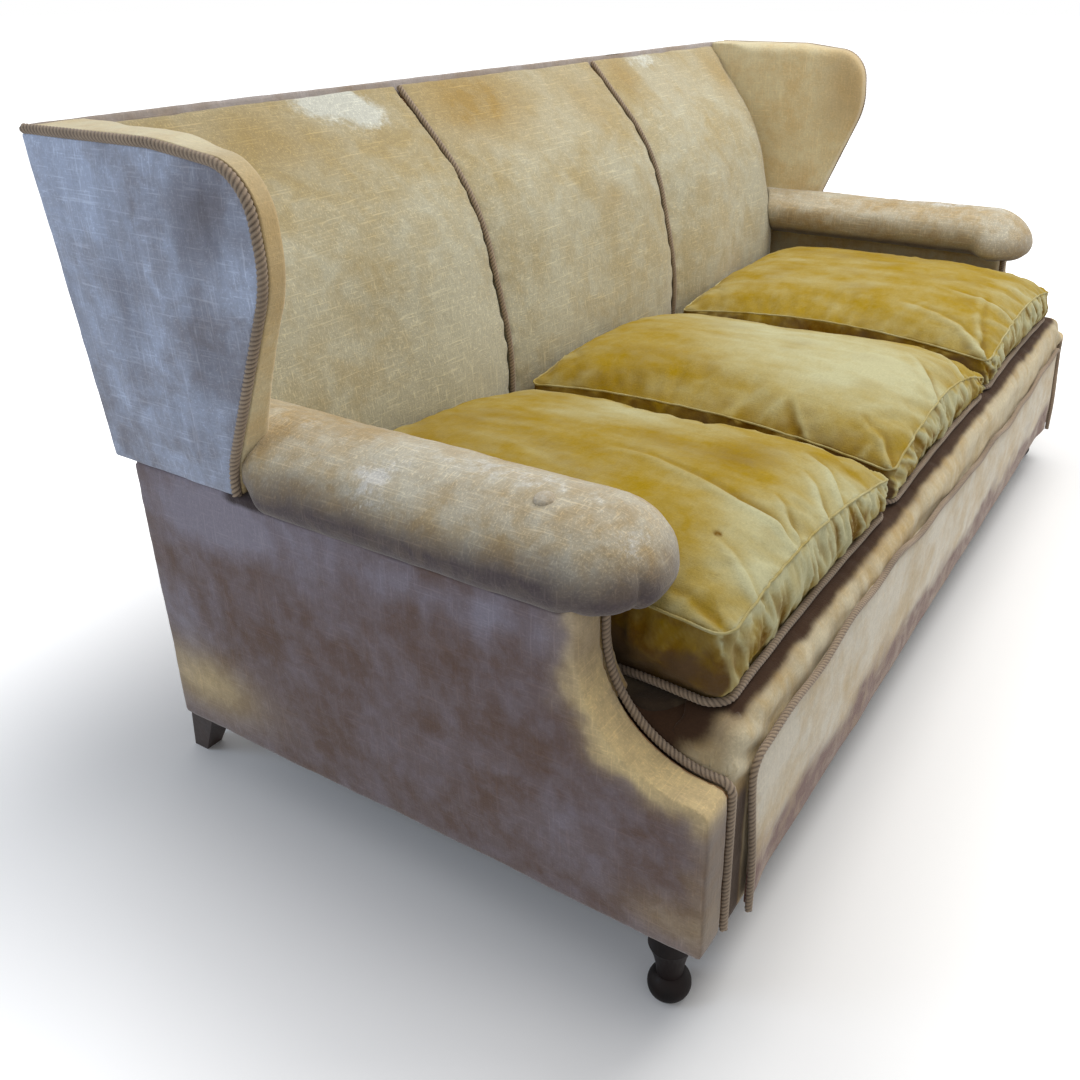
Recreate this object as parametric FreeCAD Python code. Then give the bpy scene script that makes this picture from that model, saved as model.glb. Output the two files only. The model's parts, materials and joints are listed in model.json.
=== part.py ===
import FreeCAD, Part
import math
import os
from FreeCAD import Vector

# Three-seater wing sofa with three loose cushions on a sprung seat.
# Origin: centre of the footprint on the floor. X runs along the sofa, the front faces -Y, Z is up.
# Lengths are in millimetres.

# Overall size
width = 1900.0              # across the two outside arm covers
depth = 944.0               # front cord to the top edge of the back
height = 934.0              # floor to the top edge of the back
base_z = 108.0              # floor to the bottom edge of the covers
clearance = 0.3             # between soft pieces that lie against each other
spare = 1.0                 # cutting shapes pass the faces they cut by this

# Covers and trims
cover_t = 4.0               # velvet with its wadding on a flat face
cord_d = 10.0               # braided edge cord
cord_sunk = 3.0             # centre of a back cord behind the panels' seam line

# Wooden frame
side_frame_t = 45.0         # rails, boards and posts at the two ends
rail_t = 30.0               # front and back rails
seat_rail_h = 100.0         # side and back seat rails
front_rail_h = 186.0
cross_rail_w = 45.0
cross_rail_h = 50.0
front_board_w = 262.0       # front board, front to back
arm_rail_h = 45.0
post_d = 46.0               # back post below the arm, front to back
post_top_d = 30.0           # back post at its top, front to back
middle_rail_h = 42.0
upright_w = 40.0
top_rail_h = 75.0
top_rail_drop = 29.0        # top edge of the back down to the top rail
top_rail_bevel_h = 35.0
top_rail_land = 12.0        # flat left on top of the bevelled top rail
wing_board_t = 21.0
corner_block_leg = 80.0
corner_block_h = 40.0
corner_block_lift = 30.0

# Arm: the front edge rises to a small ledge, then scoops up to the roll
arm_top_z = 500.0           # top of the arm frame, under the roll
ledge_z = 320.0
ledge_r = 14.0
arm_setback = 158.0         # front of the base to the upright part of the arm front
scoop_r = 140.0
inside_arm_t = 29.0
roll_r = 54.0               # middle of the roll to its top
roll_half = 80.0            # half its width
roll_side_r = 38.0          # radius where its top turns down at the sides
roll_under_x = 64.0         # middle of its rounded underside out from the roll's middle
roll_under_z = 30.5         # and below it
roll_rise = 49.0            # arm frame to the centre of the roll
roll_flat = 28.0            # half width of the roll's flat underside
roll_overhang = 48.0        # front of the roll past the arm front
button_d = 24.0
button_h = 5.0
button_sink = 10.0          # drawn into the roll
button_out = 4.0            # middle of the roll away from the seat
button_back = 117.0         # front of the roll to the button

# Back and wings
back_rake = 6.5             # lean of the outside back above the hem, degrees
hem_rise = 17.0             # arm frame to the hem of the upper covers
back_step = 32.0            # step in under the hem at the back
wing_proud = 4.0            # wing cover past the arm cover
wing_lap = 20.0             # arm cover tucked under the wing cover
wing_foot_l = 285.0         # top edge of the back forward to the wing's edge at the arm
wing_nose_l = 390.0         # and to its furthest point
wing_brow_l = 380.0
wing_crest_l = 232.0
wing_bend_height_share = 0.115    # above the arm frame, as a share of the wing's height
wing_nose_height_share = 0.682
wing_brow_drop_share = 0.041
wing_bend_r_share = 0.276         # radii of its edge, also shares of the wing's height
wing_nose_r_share = 0.346
wing_brow_r_share = 0.161
wing_crest_r_share = 0.461
wing_pad_in = 24.0          # inside wing is this much thinner at its front edge
panel_seam_share = 0.344    # cords between the back panels, as a share of the way to the arm
panel_foot_l = 93.5         # back frame forward to the panels' face on the seat
lumbar_l = 101.5            # and at its fullest
shoulder_l = 42.5
lumbar_rise = 5.0           # fullest line above the arm frame
lumbar_r_share = 1.152      # radii and height as shares of the wing's height
shoulder_height_share = 0.599
shoulder_r_share = 0.806
panel_seam_d = 4.0          # panels drawn back at the cords
panel_crown = 8.0           # panels bulge between the cords
panel_full = 50.0           # from a cord to where a panel is nearly full
panel_full_share = 0.6      # share of the crown reached there
panel_ends = (              # inward from a side panel's outer end, and how far it is drawn back there
    (100.0, -3.2),
    (35.0, 11.4),
    (0.0, 38.0),
)
web_t = 2.0
web_w = 50.0
canvas_t = 2.0

# Seat
deck_z = 377.4              # top of the sprung seat, under the cushions
deck_t = 29.4
lip_l = 60.0                # front face to the back of the rolled lip
lip_roll = 37.0             # front face to where the lip is level
lip_rise = 345.0            # height where the lip starts to roll
border_t = 5.0
border_in = 100.0           # outside arm to the border's end
border_corner_r = 25.0
border_left_h = 214.0       # height of the border at its left end
border_right_h = 198.0
border_wave = (             # share of the half length, height above the base, and radius of the bend
    (-0.592, 234.0, 1200.0),
    (0.127, 192.0, 2500.0),
    (0.621, 180.0, 2500.0),
)
spring_wire = 4.0
spring_r = 45.0
spring_waist = 26.0
spring_flare = 1.5          # higher keeps the waist narrow for longer
spring_turns = 4
spring_sides = 6
spring_rows = 3
spring_edge = 132.0         # front rail to the first row of springs
spring_column_share = 0.45  # spacing of the two columns in a bay, as a share of the bay
dust_t = 1.5

# Loose cushions
cushion_gap = 4.0
cushion_start = 4.0         # left inside arm to the first cushion
cushion_end = 40.0          # last cushion to the right inside arm
cushion_front = 23.0        # front cord of the sofa back to the front of the cushions
cushion_back = 2.0          # back of the cushions to the fullest part of the back panels
cushion_side = 109.0        # bottom to the top seam
cushion_crown = 28.0
cushion_side_shape = (      # share of the side's height, and how far inside the outline
    (0.25, 3.0),
    (0.6, 1.0),
    (1.0, 5.0),
)
cushion_top_shape = (       # share of the crown's height, and how far inside the outline
    (0.0, 5.0),
    (0.45, 35.0),
    (0.8, 85.0),
    (1.0, 150.0),
)
cushion_r = 50.0
cushion_draw = 8.0          # front and back pull in between the corners, the longer sides in proportion
cushion_side_r = 3000.0     # and curve this gently where they do

# Feet
foot_in = 61.0              # front cord back to the middle of a front foot
bun_r = 26.5
bun_h = 36.0
bun_flat = 16.0
foot_neck_r = 16.5
foot_neck_z = 41.0
foot_cup_r = 27.0
foot_cup_z = 84.0
foot_boss_r = 20.0
spigot_r = 10.0
spigot_l = 30.0
spigot_fit = 0.15
leg_foot = 28.0
leg_foot_in = 21.5          # foot of a rear leg in from the middle of the side frame
leg_foot_l = 44.0           # and forward of the top edge of the back

# Places that follow from the sizes above
cord_r = cord_d / 2
front_y = -depth / 2
cover_front_y = front_y + cord_d + clearance
frame_front_y = cover_front_y + cover_t
side_x = width / 2
frame_out_x = side_x - cover_t
frame_in_x = frame_out_x - side_frame_t
inside_x = frame_in_x - inside_arm_t
hem_z = arm_top_z + hem_rise
rail_z = base_z + dust_t + 2 * web_t
scoop_y = cover_front_y + arm_setback
board_back_y = frame_front_y + front_board_w
arm_rail_z = arm_top_z - arm_rail_h
rail_top_z = height - top_rail_drop
roll_x = width / 2 - roll_half
roll_z = arm_top_z + roll_rise
roll_front_y = scoop_y - roll_overhang
button_x = roll_x + button_out
button_y = roll_front_y + button_back
foot_x = (frame_in_x + frame_out_x) / 2
foot_y = front_y + foot_in
leg_foot_x = foot_x - leg_foot_in
leg_foot_y = depth / 2 - leg_foot_l
border_half = side_x - border_in
panel_seam_x = panel_seam_share * inside_x
cross_rail_x = panel_seam_x
cushion_w = (2 * inside_x - cushion_start - cushion_end - 2 * cushion_gap) / 3
wing_h = height - arm_top_z
wing_foot_y = depth / 2 - wing_foot_l
wing_nose_y = depth / 2 - wing_nose_l
wing_brow_y = depth / 2 - wing_brow_l
wing_crest_y = depth / 2 - wing_crest_l
wing_bend_z = arm_top_z + wing_bend_height_share * wing_h
wing_nose_z = arm_top_z + wing_nose_height_share * wing_h
wing_brow_z = height - wing_brow_drop_share * wing_h


def outside_back_y(z):
    """Outer face of the upper back at height z."""
    return depth / 2 - (height - z) * math.tan(math.radians(back_rake))


lower_back_y = outside_back_y(hem_z) - back_step
frame_back_y = lower_back_y - cover_t
frame_face_y = frame_back_y - post_d
panel_foot_y = frame_face_y - panel_foot_l
lumbar_y = frame_face_y - lumbar_l
lumbar_z = arm_top_z + lumbar_rise
shoulder_y = frame_face_y - shoulder_l
shoulder_z = arm_top_z + shoulder_height_share * wing_h
shoulder_r = shoulder_r_share * wing_h
lumbar_r = lumbar_r_share * wing_h
post_top_y = outside_back_y(rail_top_z) - cover_t - post_top_d


def back_face_y(z):
    """Front face of the back frame at height z: upright to the arm, then leaning."""
    lean = (post_top_y - frame_face_y) / (rail_top_z - arm_top_z)
    return frame_face_y + max(z - arm_top_z, 0.0) * lean


# Outlines: a corner is (u, v) or (u, v, radius); outlines run counterclockwise.

def across(x):
    """Places an outline of (y, z) corners at x."""
    return lambda u, v: Vector(x, u, v)


def upright(y):
    """Places an outline of (x, z) corners at y."""
    return lambda u, v: Vector(u, y, v)


def corner_radius(corner):
    return corner[2] if len(corner) > 2 else 0.0


def turn(corners, i):
    """Unit directions into and out of corner i."""
    before = corners[i - 1]
    here = corners[i]
    after = corners[(i + 1) % len(corners)]
    way_in = Vector(here[0] - before[0], here[1] - before[1], 0).normalize()
    way_out = Vector(after[0] - here[0], after[1] - here[1], 0).normalize()
    return way_in, way_out


def path_edges(corners, place, closed=True):
    """Lines through the corners, joined by tangent arcs where a corner has a radius."""
    count = len(corners)
    starts = []
    arcs = []
    for i, corner in enumerate(corners):
        point = Vector(corner[0], corner[1], 0)
        radius = corner_radius(corner)
        at_end = not closed and i in (0, count - 1)
        if radius == 0 or at_end:
            starts.append((point, point))
            arcs.append(None)
            continue
        way_in, way_out = turn(corners, i)
        angle = way_in.getAngle(way_out)
        reach = radius * math.tan(angle / 2)
        first = point - way_in * reach
        last = point + way_out * reach
        inward = (way_out - way_in).normalize()
        middle = point + inward * (radius / math.cos(angle / 2) - radius)
        starts.append((first, last))
        arcs.append((first, middle, last))
    edges = []
    last_line = count if closed else count - 1
    for i in range(count):
        if arcs[i]:
            edges.append(Part.Arc(*[place(p.x, p.y) for p in arcs[i]]).toShape())
        if i < last_line:
            begin = starts[i][1]
            end = starts[(i + 1) % count][0]
            edges.append(Part.LineSegment(place(begin.x, begin.y), place(end.x, end.y)).toShape())
    return edges


def inset(corners, amount):
    """The closed outline with every side moved inward by amount."""
    moved = []
    for i, corner in enumerate(corners):
        way_in, way_out = turn(corners, i)
        left_in = Vector(-way_in.y, way_in.x, 0)
        left_out = Vector(-way_out.y, way_out.x, 0)
        shift = (left_in + left_out) * (amount / (1 + left_in.dot(left_out)))
        radius = corner_radius(corner)
        if radius:
            convex = way_in.cross(way_out).z > 0
            radius = radius - amount if convex else radius + amount
        moved.append((corner[0] + shift.x, corner[1] + shift.y, radius))
    return moved


def slab(corners, x_from, x_to):
    """Solid of an outline of (y, z) corners between two places along the sofa."""
    face = Part.Face(Part.Wire(path_edges(corners, across(x_from))))
    return face.extrude(Vector(x_to - x_from, 0, 0))


def box(x_from, x_to, y_from, y_to, z_from, z_to):
    size = (x_to - x_from, y_to - y_from, z_to - z_from)
    return Part.makeBox(*size, Vector(x_from, y_from, z_from))


def tube(edges, diameter):
    """Round cord along a path of tangent lines and arcs: a cylinder or part of a torus for each."""
    pieces = []
    for edge in edges:
        start = edge.valueAt(edge.FirstParameter)
        direction = edge.tangentAt(edge.FirstParameter)
        disc = Part.Face(Part.Wire(Part.makeCircle(diameter / 2, start, direction)))
        if isinstance(edge.Curve, Part.Circle):
            turned = math.degrees(edge.Length / edge.Curve.Radius)
            sense = edge.Curve.Axis * (1 if direction.dot(
                edge.Curve.Axis.cross(start - edge.Curve.Center)) > 0 else -1)
            pieces.append(disc.revolve(edge.Curve.Center, sense, turned))
        else:
            pieces.append(disc.extrude(direction * edge.Length))
    return pieces[0].multiFuse(pieces[1:]).removeSplitter()


def mirrored(shape):
    return shape.mirror(Vector(0, 0, 0), Vector(1, 0, 0))


def save(name, shape):
    shape.exportStep("parts/" + name + ".step")
    print(name, len(shape.Solids), shape.isValid(), round(shape.Volume / 1000), "cm3")


def save_pair(name, shape):
    """The piece at the right end and its mirror at the left end."""
    save("right_" + name, shape)
    save("left_" + name, mirrored(shape))


def arm_corners(bottom, back, top):
    """Side of the arm: front edge, ledge and scoop."""
    return [
        (cover_front_y, bottom),
        (back, bottom),
        (back, top),
        (scoop_y, top),
        (scoop_y, ledge_z, scoop_r),
        (cover_front_y, ledge_z, ledge_r),
    ]


def wing_corners(bottom, past_back=0.0):
    """Side of the wing, its back lengthened for an inset that is to leave the back where it is."""
    return [
        (wing_foot_y, bottom),
        (outside_back_y(bottom) + past_back, bottom),
        (outside_back_y(height) + past_back, height),
        (wing_crest_y, height, wing_crest_r_share * wing_h),
        (wing_brow_y, wing_brow_z, wing_brow_r_share * wing_h),
        (wing_nose_y, wing_nose_z, wing_nose_r_share * wing_h),
        (wing_foot_y, wing_bend_z, wing_bend_r_share * wing_h),
    ]


def post_corners(bottom, top):
    """Side of a back post: swept forward below the hem, leaning above it."""
    return [
        (frame_face_y, bottom),
        (frame_back_y, bottom),
        (frame_back_y, hem_z),
        (outside_back_y(hem_z) - cover_t, hem_z),
        (outside_back_y(top) - cover_t, top),
        (back_face_y(top), top),
        (frame_face_y, arm_top_z),
    ]


# Seat frame
front_rail = box(-frame_in_x, frame_in_x, frame_front_y, frame_front_y + rail_t,
                 rail_z, rail_z + front_rail_h)
save("front_rail", front_rail)

back_seat_rail = box(-frame_in_x, frame_in_x, frame_face_y, frame_face_y + rail_t,
                     rail_z, rail_z + seat_rail_h)
save("back_seat_rail", back_seat_rail)

save_pair("side_rail", box(frame_in_x, frame_out_x, board_back_y, frame_face_y,
                           rail_z, rail_z + seat_rail_h))

cross_rails = []
for x in (-cross_rail_x, cross_rail_x):
    cross_rails.append(box(x - cross_rail_w / 2, x + cross_rail_w / 2,
                           frame_front_y + rail_t, frame_face_y, rail_z, rail_z + cross_rail_h))
save("seat_cross_rails", Part.makeCompound(cross_rails))

corner_blocks = []
for x_side in (-1, 1):
    for y_corner, y_side in ((frame_front_y + rail_t, 1), (frame_face_y, -1)):
        x_corner = x_side * frame_in_x
        low = rail_z + corner_block_lift
        triangle = [Vector(x_corner, y_corner, low),
                    Vector(x_corner - x_side * corner_block_leg, y_corner, low),
                    Vector(x_corner, y_corner + y_side * corner_block_leg, low),
                    Vector(x_corner, y_corner, low)]
        face = Part.Face(Part.makePolygon(triangle))
        corner_blocks.append(face.extrude(Vector(0, 0, corner_block_h)))
save("corner_blocks", Part.makeCompound(corner_blocks))

# Arm frame: the front board carries the scoop, and the turned foot is pegged into its bottom end
board_outline = inset(arm_corners(rail_z - cover_t, board_back_y + cover_t, arm_rail_z + cover_t), cover_t)
front_board = slab(board_outline, frame_in_x, frame_out_x)
peg_hole = Part.makeCylinder(spigot_r, spigot_l + clearance, Vector(foot_x, foot_y, rail_z))
save_pair("front_board", front_board.cut(peg_hole))

save_pair("arm_rail", box(frame_in_x, frame_out_x, scoop_y + cover_t, frame_face_y,
                          arm_rail_z, arm_top_z))

# Turned front foot: bun, neck, flared cup, boss under the board and peg
foot_edges = [
    Part.LineSegment(Vector(0, 0, 0), Vector(bun_flat, 0, 0)),
    Part.Arc(Vector(bun_flat, 0, 0), Vector(bun_r, 0, bun_h / 2), Vector(bun_flat, 0, bun_h)),
    Part.LineSegment(Vector(bun_flat, 0, bun_h), Vector(foot_neck_r, 0, foot_neck_z)),
    Part.Arc(Vector(foot_neck_r, 0, foot_neck_z),
             Vector((foot_neck_r * 2 + foot_cup_r) / 3, 0, (foot_neck_z + foot_cup_z) / 2),
             Vector(foot_cup_r, 0, foot_cup_z)),
    Part.LineSegment(Vector(foot_cup_r, 0, foot_cup_z), Vector(foot_cup_r, 0, base_z - clearance)),
    Part.LineSegment(Vector(foot_cup_r, 0, base_z - clearance),
                     Vector(foot_boss_r, 0, base_z - clearance)),
    Part.LineSegment(Vector(foot_boss_r, 0, base_z - clearance), Vector(foot_boss_r, 0, rail_z)),
    Part.LineSegment(Vector(foot_boss_r, 0, rail_z), Vector(spigot_r - spigot_fit, 0, rail_z)),
    Part.LineSegment(Vector(spigot_r - spigot_fit, 0, rail_z),
                     Vector(spigot_r - spigot_fit, 0, rail_z + spigot_l)),
    Part.LineSegment(Vector(spigot_r - spigot_fit, 0, rail_z + spigot_l),
                     Vector(0, 0, rail_z + spigot_l)),
    Part.LineSegment(Vector(0, 0, rail_z + spigot_l), Vector(0, 0, 0)),
]
foot_face = Part.Face(Part.Wire([edge.toShape() for edge in foot_edges]))
foot = foot_face.revolve(Vector(0, 0, 0), Vector(0, 0, 1), 360)
foot.translate(Vector(foot_x, foot_y, 0))
save_pair("front_foot", foot)

# Back frame: each post runs down into the splayed, tapered rear leg
post = slab(post_corners(base_z, rail_top_z), frame_in_x, frame_out_x)


def level_frame(x_from, x_to, y_from, y_to, z):
    points = [Vector(x_from, y_from, z), Vector(x_to, y_from, z), Vector(x_to, y_to, z),
              Vector(x_from, y_to, z), Vector(x_from, y_from, z)]
    return Part.makePolygon(points)


leg = Part.makeLoft([
    level_frame(frame_in_x, frame_out_x, frame_face_y, frame_back_y, base_z),
    level_frame(leg_foot_x - leg_foot / 2, leg_foot_x + leg_foot / 2,
                leg_foot_y - leg_foot / 2, leg_foot_y + leg_foot / 2, 0),
], True, True)
post = post.fuse(leg).removeSplitter()
save_pair("back_post", post)

middle_rail = box(-frame_in_x, frame_in_x, frame_face_y, frame_face_y + rail_t,
                  arm_top_z - middle_rail_h, arm_top_z)
save("back_middle_rail", middle_rail)

top_rail_z = rail_top_z - top_rail_h
bevel_z = rail_top_z - top_rail_bevel_h
land_y = outside_back_y(rail_top_z) - cover_t - top_rail_land
top_rail = slab([
    (back_face_y(top_rail_z), top_rail_z),
    (outside_back_y(top_rail_z) - cover_t, top_rail_z),
    (outside_back_y(rail_top_z) - cover_t, rail_top_z),
    (land_y, rail_top_z),
    (back_face_y(bevel_z), bevel_z),
], -frame_in_x, frame_in_x)
save("back_top_rail", top_rail)

uprights = []
for x in (-panel_seam_x, panel_seam_x):
    stile = slab(post_corners(rail_z + seat_rail_h, top_rail_z), x - upright_w / 2, x + upright_w / 2)
    uprights.append(stile.cut(middle_rail))
save("back_uprights", Part.makeCompound(uprights))

wing_x = frame_out_x - wing_board_t
wing_board = slab(inset(wing_corners(arm_top_z - cover_t), cover_t), wing_x, frame_out_x)
wing_board = wing_board.cut(post).cut(box(wing_x, frame_out_x, frame_face_y, depth, 0, hem_z))
save_pair("wing_board", wing_board)

# Seat webbing: strips front to back under strips along the sofa
bay_x = (cross_rail_x + cross_rail_w / 2 + frame_in_x) / 2
column_step = (frame_in_x - cross_rail_x - cross_rail_w / 2) * spring_column_share
column_x = []
for bay in (-bay_x, 0.0, bay_x):
    column_x.extend([bay - column_step / 2, bay + column_step / 2])
row_from = frame_front_y + rail_t + spring_edge
row_step = (frame_face_y - spring_edge - row_from) / (spring_rows - 1)
row_y = [row_from + i * row_step for i in range(spring_rows)]
web_z = base_z + dust_t
webs = []
for x in column_x:
    webs.append(box(x - web_w / 2, x + web_w / 2, frame_front_y, frame_back_y, web_z, web_z + web_t))
for y in row_y:
    webs.append(box(-frame_out_x, frame_out_x, y - web_w / 2, y + web_w / 2, web_z + web_t, rail_z))
save("seat_webbing", Part.makeCompound(webs))

# Seat springs: waisted coils, each one unbroken wire standing where two webs cross
canvas_z = deck_z - deck_t - canvas_t
spring_h = canvas_z - rail_z


def coil_section(share, x, y):
    """Square wire section at a share of the coil's length."""
    turned = 2 * math.pi * spring_turns * share
    radius = spring_waist + (spring_r - spring_waist) * abs(2 * share - 1) ** spring_flare
    middle = rail_z + spring_wire / 2 + (spring_h - spring_wire) * share
    corners = []
    for out, up in ((-1, -1), (1, -1), (1, 1), (-1, 1), (-1, -1)):
        reach = radius + out * spring_wire / 2
        corners.append(Vector(x + reach * math.cos(turned), y + reach * math.sin(turned),
                              middle + up * spring_wire / 2))
    return Part.makePolygon(corners)


springs = []
steps = spring_turns * spring_sides
for x in column_x:
    for y in row_y:
        rings = [coil_section(i / steps, x, y) for i in range(steps + 1)]
        springs.append(Part.makeLoft(rings, True, True))
save("seat_springs", Part.makeCompound(springs))
print("least gap between spring turns", round(spring_h / spring_turns - spring_wire, 1), "mm")

deck_back_y = frame_face_y - web_t - canvas_t - clearance
lip_back_y = cover_front_y + lip_l
lip_x = frame_in_x - cord_d - 2 * clearance


def seat_layer(front, low, high):
    """Layer of the seat, notched at the two front corners where the arm fronts scoop back."""
    middle = box(-lip_x, lip_x, front, deck_back_y, low, high)
    ends = box(-frame_in_x + clearance, frame_in_x - clearance, front, deck_back_y, low, high)
    arm_side = inset(arm_corners(base_z, depth, height), cover_t)
    return middle.fuse(ends.common(slab(arm_side, -width, width))).removeSplitter()


save("spring_canvas", seat_layer(frame_front_y + rail_t + clearance, canvas_z, canvas_z + canvas_t))

# Back webbing and canvas on the front of the back frame


def back_layer(x_from, x_to, near, far, bottom, top):
    """Layer between two distances in front of the back frame."""
    return slab([
        (back_face_y(bottom) - far, bottom),
        (back_face_y(bottom) - near, bottom),
        (back_face_y(arm_top_z) - near, arm_top_z),
        (back_face_y(top) - near, top),
        (back_face_y(top) - far, top),
        (back_face_y(arm_top_z) - far, arm_top_z),
    ], x_from, x_to)


back_layer_z = rail_z + corner_block_lift + corner_block_h + clearance
back_webs = []
for x in column_x:
    back_webs.append(back_layer(x - web_w / 2, x + web_w / 2, 0, web_t, back_layer_z, bevel_z))
save("back_webbing", Part.makeCompound(back_webs))
save("back_canvas", back_layer(-inside_x + clearance, inside_x - clearance,
                               web_t, web_t + canvas_t, back_layer_z, bevel_z))

# Sprung seat cover and the rolled lip, which runs down the front as an apron
save("seat_deck", seat_layer(lip_back_y, deck_z - deck_t, deck_z))

front_rail_top = rail_z + front_rail_h
lip_edges = path_edges([
    (frame_front_y, base_z),
    (frame_front_y, front_rail_top),
    (frame_front_y + rail_t, front_rail_top),
    (frame_front_y + rail_t, canvas_z + canvas_t),
    (lip_back_y, canvas_z + canvas_t),
    (lip_back_y, deck_z),
    (cover_front_y + lip_roll, deck_z),
], across(-lip_x), False)
roll_angle = math.radians(45)
lip_edges.append(Part.Arc(
    Vector(-lip_x, cover_front_y + lip_roll, deck_z),
    Vector(-lip_x, cover_front_y + lip_roll * (1 - math.sin(roll_angle)),
           lip_rise + (deck_z - lip_rise) * math.cos(roll_angle)),
    Vector(-lip_x, cover_front_y, lip_rise)).toShape())
lip_edges.append(Part.LineSegment(Vector(-lip_x, cover_front_y, lip_rise),
                                  Vector(-lip_x, cover_front_y, base_z)).toShape())
lip_edges.append(Part.LineSegment(Vector(-lip_x, cover_front_y, base_z),
                                  Vector(-lip_x, frame_front_y, base_z)).toShape())
front_lip = Part.Face(Part.Wire(lip_edges)).extrude(Vector(2 * lip_x, 0, 0))
save("front_lip", front_lip)



def border_corners(bottom):
    """Front of the border, its top edge waving between the two ends."""
    corners = [
        (-border_half, bottom),
        (border_half, bottom),
        (border_half, base_z + border_right_h, border_corner_r),
    ]
    for share, rise, radius in reversed(border_wave):
        corners.append((share * border_half, base_z + rise, radius))
    corners.append((-border_half, base_z + border_left_h, border_corner_r))
    return corners


border_face = Part.Face(Part.Wire(path_edges(border_corners(base_z), upright(cover_front_y))))
save("front_border", border_face.extrude(Vector(0, -border_t, 0)))

cord_out = cord_r + clearance
border_line = inset(border_corners(base_z + cord_out), -cord_out)
border_path = [border_line[0]] + border_line[:0:-1]
save("border_cord", tube(path_edges(border_path, upright(front_y + cord_r), False), cord_d))

# Back panels: seams drawn in, crowned between the cords, rolled over the top rail
panel_z = deck_z + clearance


def panel_wire(x, drawn):
    """Side of a back panel at x, its front drawn back by an amount."""
    layer = web_t + canvas_t + clearance
    corners = [
        (panel_foot_y + drawn, panel_z),
        (back_face_y(panel_z) - layer, panel_z),
        (back_face_y(arm_top_z) - layer, arm_top_z),
        (back_face_y(bevel_z) - layer, bevel_z),
        (land_y - clearance, rail_top_z + clearance),
        (outside_back_y(rail_top_z) - cover_t - clearance, rail_top_z + clearance),
        (outside_back_y(height) - cover_t - clearance, height),
        (shoulder_y + drawn, shoulder_z, shoulder_r),
        (lumbar_y + drawn, lumbar_z, lumbar_r),
    ]
    return Part.Wire(path_edges(corners, across(x)))


def back_panel(stations):
    return Part.makeLoft([panel_wire(x, drawn) for x, drawn in stations], True, False)


seam_in = panel_seam_x - cord_out
seam_out = panel_seam_x + cord_out
nearly_full = -panel_crown * panel_full_share
centre_panel = back_panel([
    (-seam_in, panel_seam_d),
    (-seam_in + panel_full, nearly_full),
    (0.0, -panel_crown),
    (seam_in - panel_full, nearly_full),
    (seam_in, panel_seam_d),
])
save("back_panel_centre", centre_panel)

panel_end = inside_x - clearance
side_panel = back_panel([
    (seam_out, panel_seam_d),
    (seam_out + panel_full, nearly_full),
    ((seam_out + panel_end) / 2, -panel_crown),
] + [(panel_end - inward, drawn) for inward, drawn in panel_ends])
save("back_panel_right", side_panel)
save("back_panel_left", mirrored(side_panel))

cord_top = height - cord_d
cord_line = path_edges([
    (panel_foot_y + cord_sunk, panel_z),
    (lumbar_y + cord_sunk, lumbar_z, lumbar_r),
    (shoulder_y + cord_sunk, shoulder_z, shoulder_r),
    (outside_back_y(cord_top) - cover_t - cord_d, cord_top),
], across(panel_seam_x), False)
back_cord = tube(cord_line, cord_d)
save("back_cords", Part.makeCompound([mirrored(back_cord), back_cord]))

# Arm upholstery

def roll_place(u, v):
    return Vector(roll_x + u, nose_back_y, roll_z + v)


def roll_arcs(side, grow=0.0):
    """Top half of the roll's section, side to middle, towards the seat (-1) or outward (1)."""
    rise = roll_r + grow
    side_r = roll_side_r + grow
    reach = roll_half - roll_side_r
    drop = (reach ** 2 - (rise - side_r) ** 2) / (2 * (rise - side_r))
    lean = math.atan2(reach, drop)
    turn = math.pi / 2 - lean

    def on_side(angle):
        return roll_place(side * (reach + side_r * math.cos(angle)), side_r * math.sin(angle))

    def on_top(angle):
        return roll_place(side * (rise + drop) * math.sin(angle), (rise + drop) * math.cos(angle) - drop)

    return [
        Part.Arc(on_side(0), on_side(turn / 2), on_side(turn)).toShape(),
        Part.Arc(on_top(lean), on_top(lean / 2), on_top(0)).toShape(),
    ]


def roll_underside(side):
    return Part.Arc(roll_place(side * roll_flat, -roll_rise), roll_place(side * roll_under_x, -roll_under_z),
                    roll_place(side * roll_half, 0)).toShape()


def roll_section(from_middle):
    """Section of the arm roll, whole or from its middle line outward, at the start of its round nose."""
    outer = [roll_underside(1)] + roll_arcs(1)
    if from_middle:
        closing = [
            Part.LineSegment(roll_place(0, roll_r), roll_place(0, -roll_rise)).toShape(),
            Part.LineSegment(roll_place(0, -roll_rise), roll_place(roll_flat, -roll_rise)).toShape(),
        ]
    else:
        closing = roll_arcs(-1)[::-1] + [
            roll_underside(-1),
            Part.LineSegment(roll_place(-roll_flat, -roll_rise), roll_place(roll_flat, -roll_rise)).toShape(),
        ]
    return Part.Face(Part.Wire(outer + closing))


nose_back_y = roll_front_y + roll_half
roll_nose = roll_section(True).revolve(Vector(roll_x, nose_back_y, roll_z), Vector(0, 0, 1), -180)
roll_body = roll_section(False).extrude(Vector(0, frame_face_y - nose_back_y, 0))
wing_space = slab(inset(wing_corners(arm_top_z), -clearance), wing_x - clearance, side_x + roll_half)
panel_space = side_panel.copy()
panel_space.translate(Vector(clearance, -clearance, 0))
back_space = box(roll_x - roll_half, inside_x, frame_face_y - inside_arm_t, frame_face_y, 0, height)
roll_body = roll_body.cut(wing_space).cut(side_panel).cut(panel_space).cut(back_space)
arm_pad = roll_body.fuse(roll_nose).removeSplitter()
save("right_arm_pad", arm_pad)
left_arm_pad = mirrored(arm_pad)
save("left_arm_pad", left_arm_pad)

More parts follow.
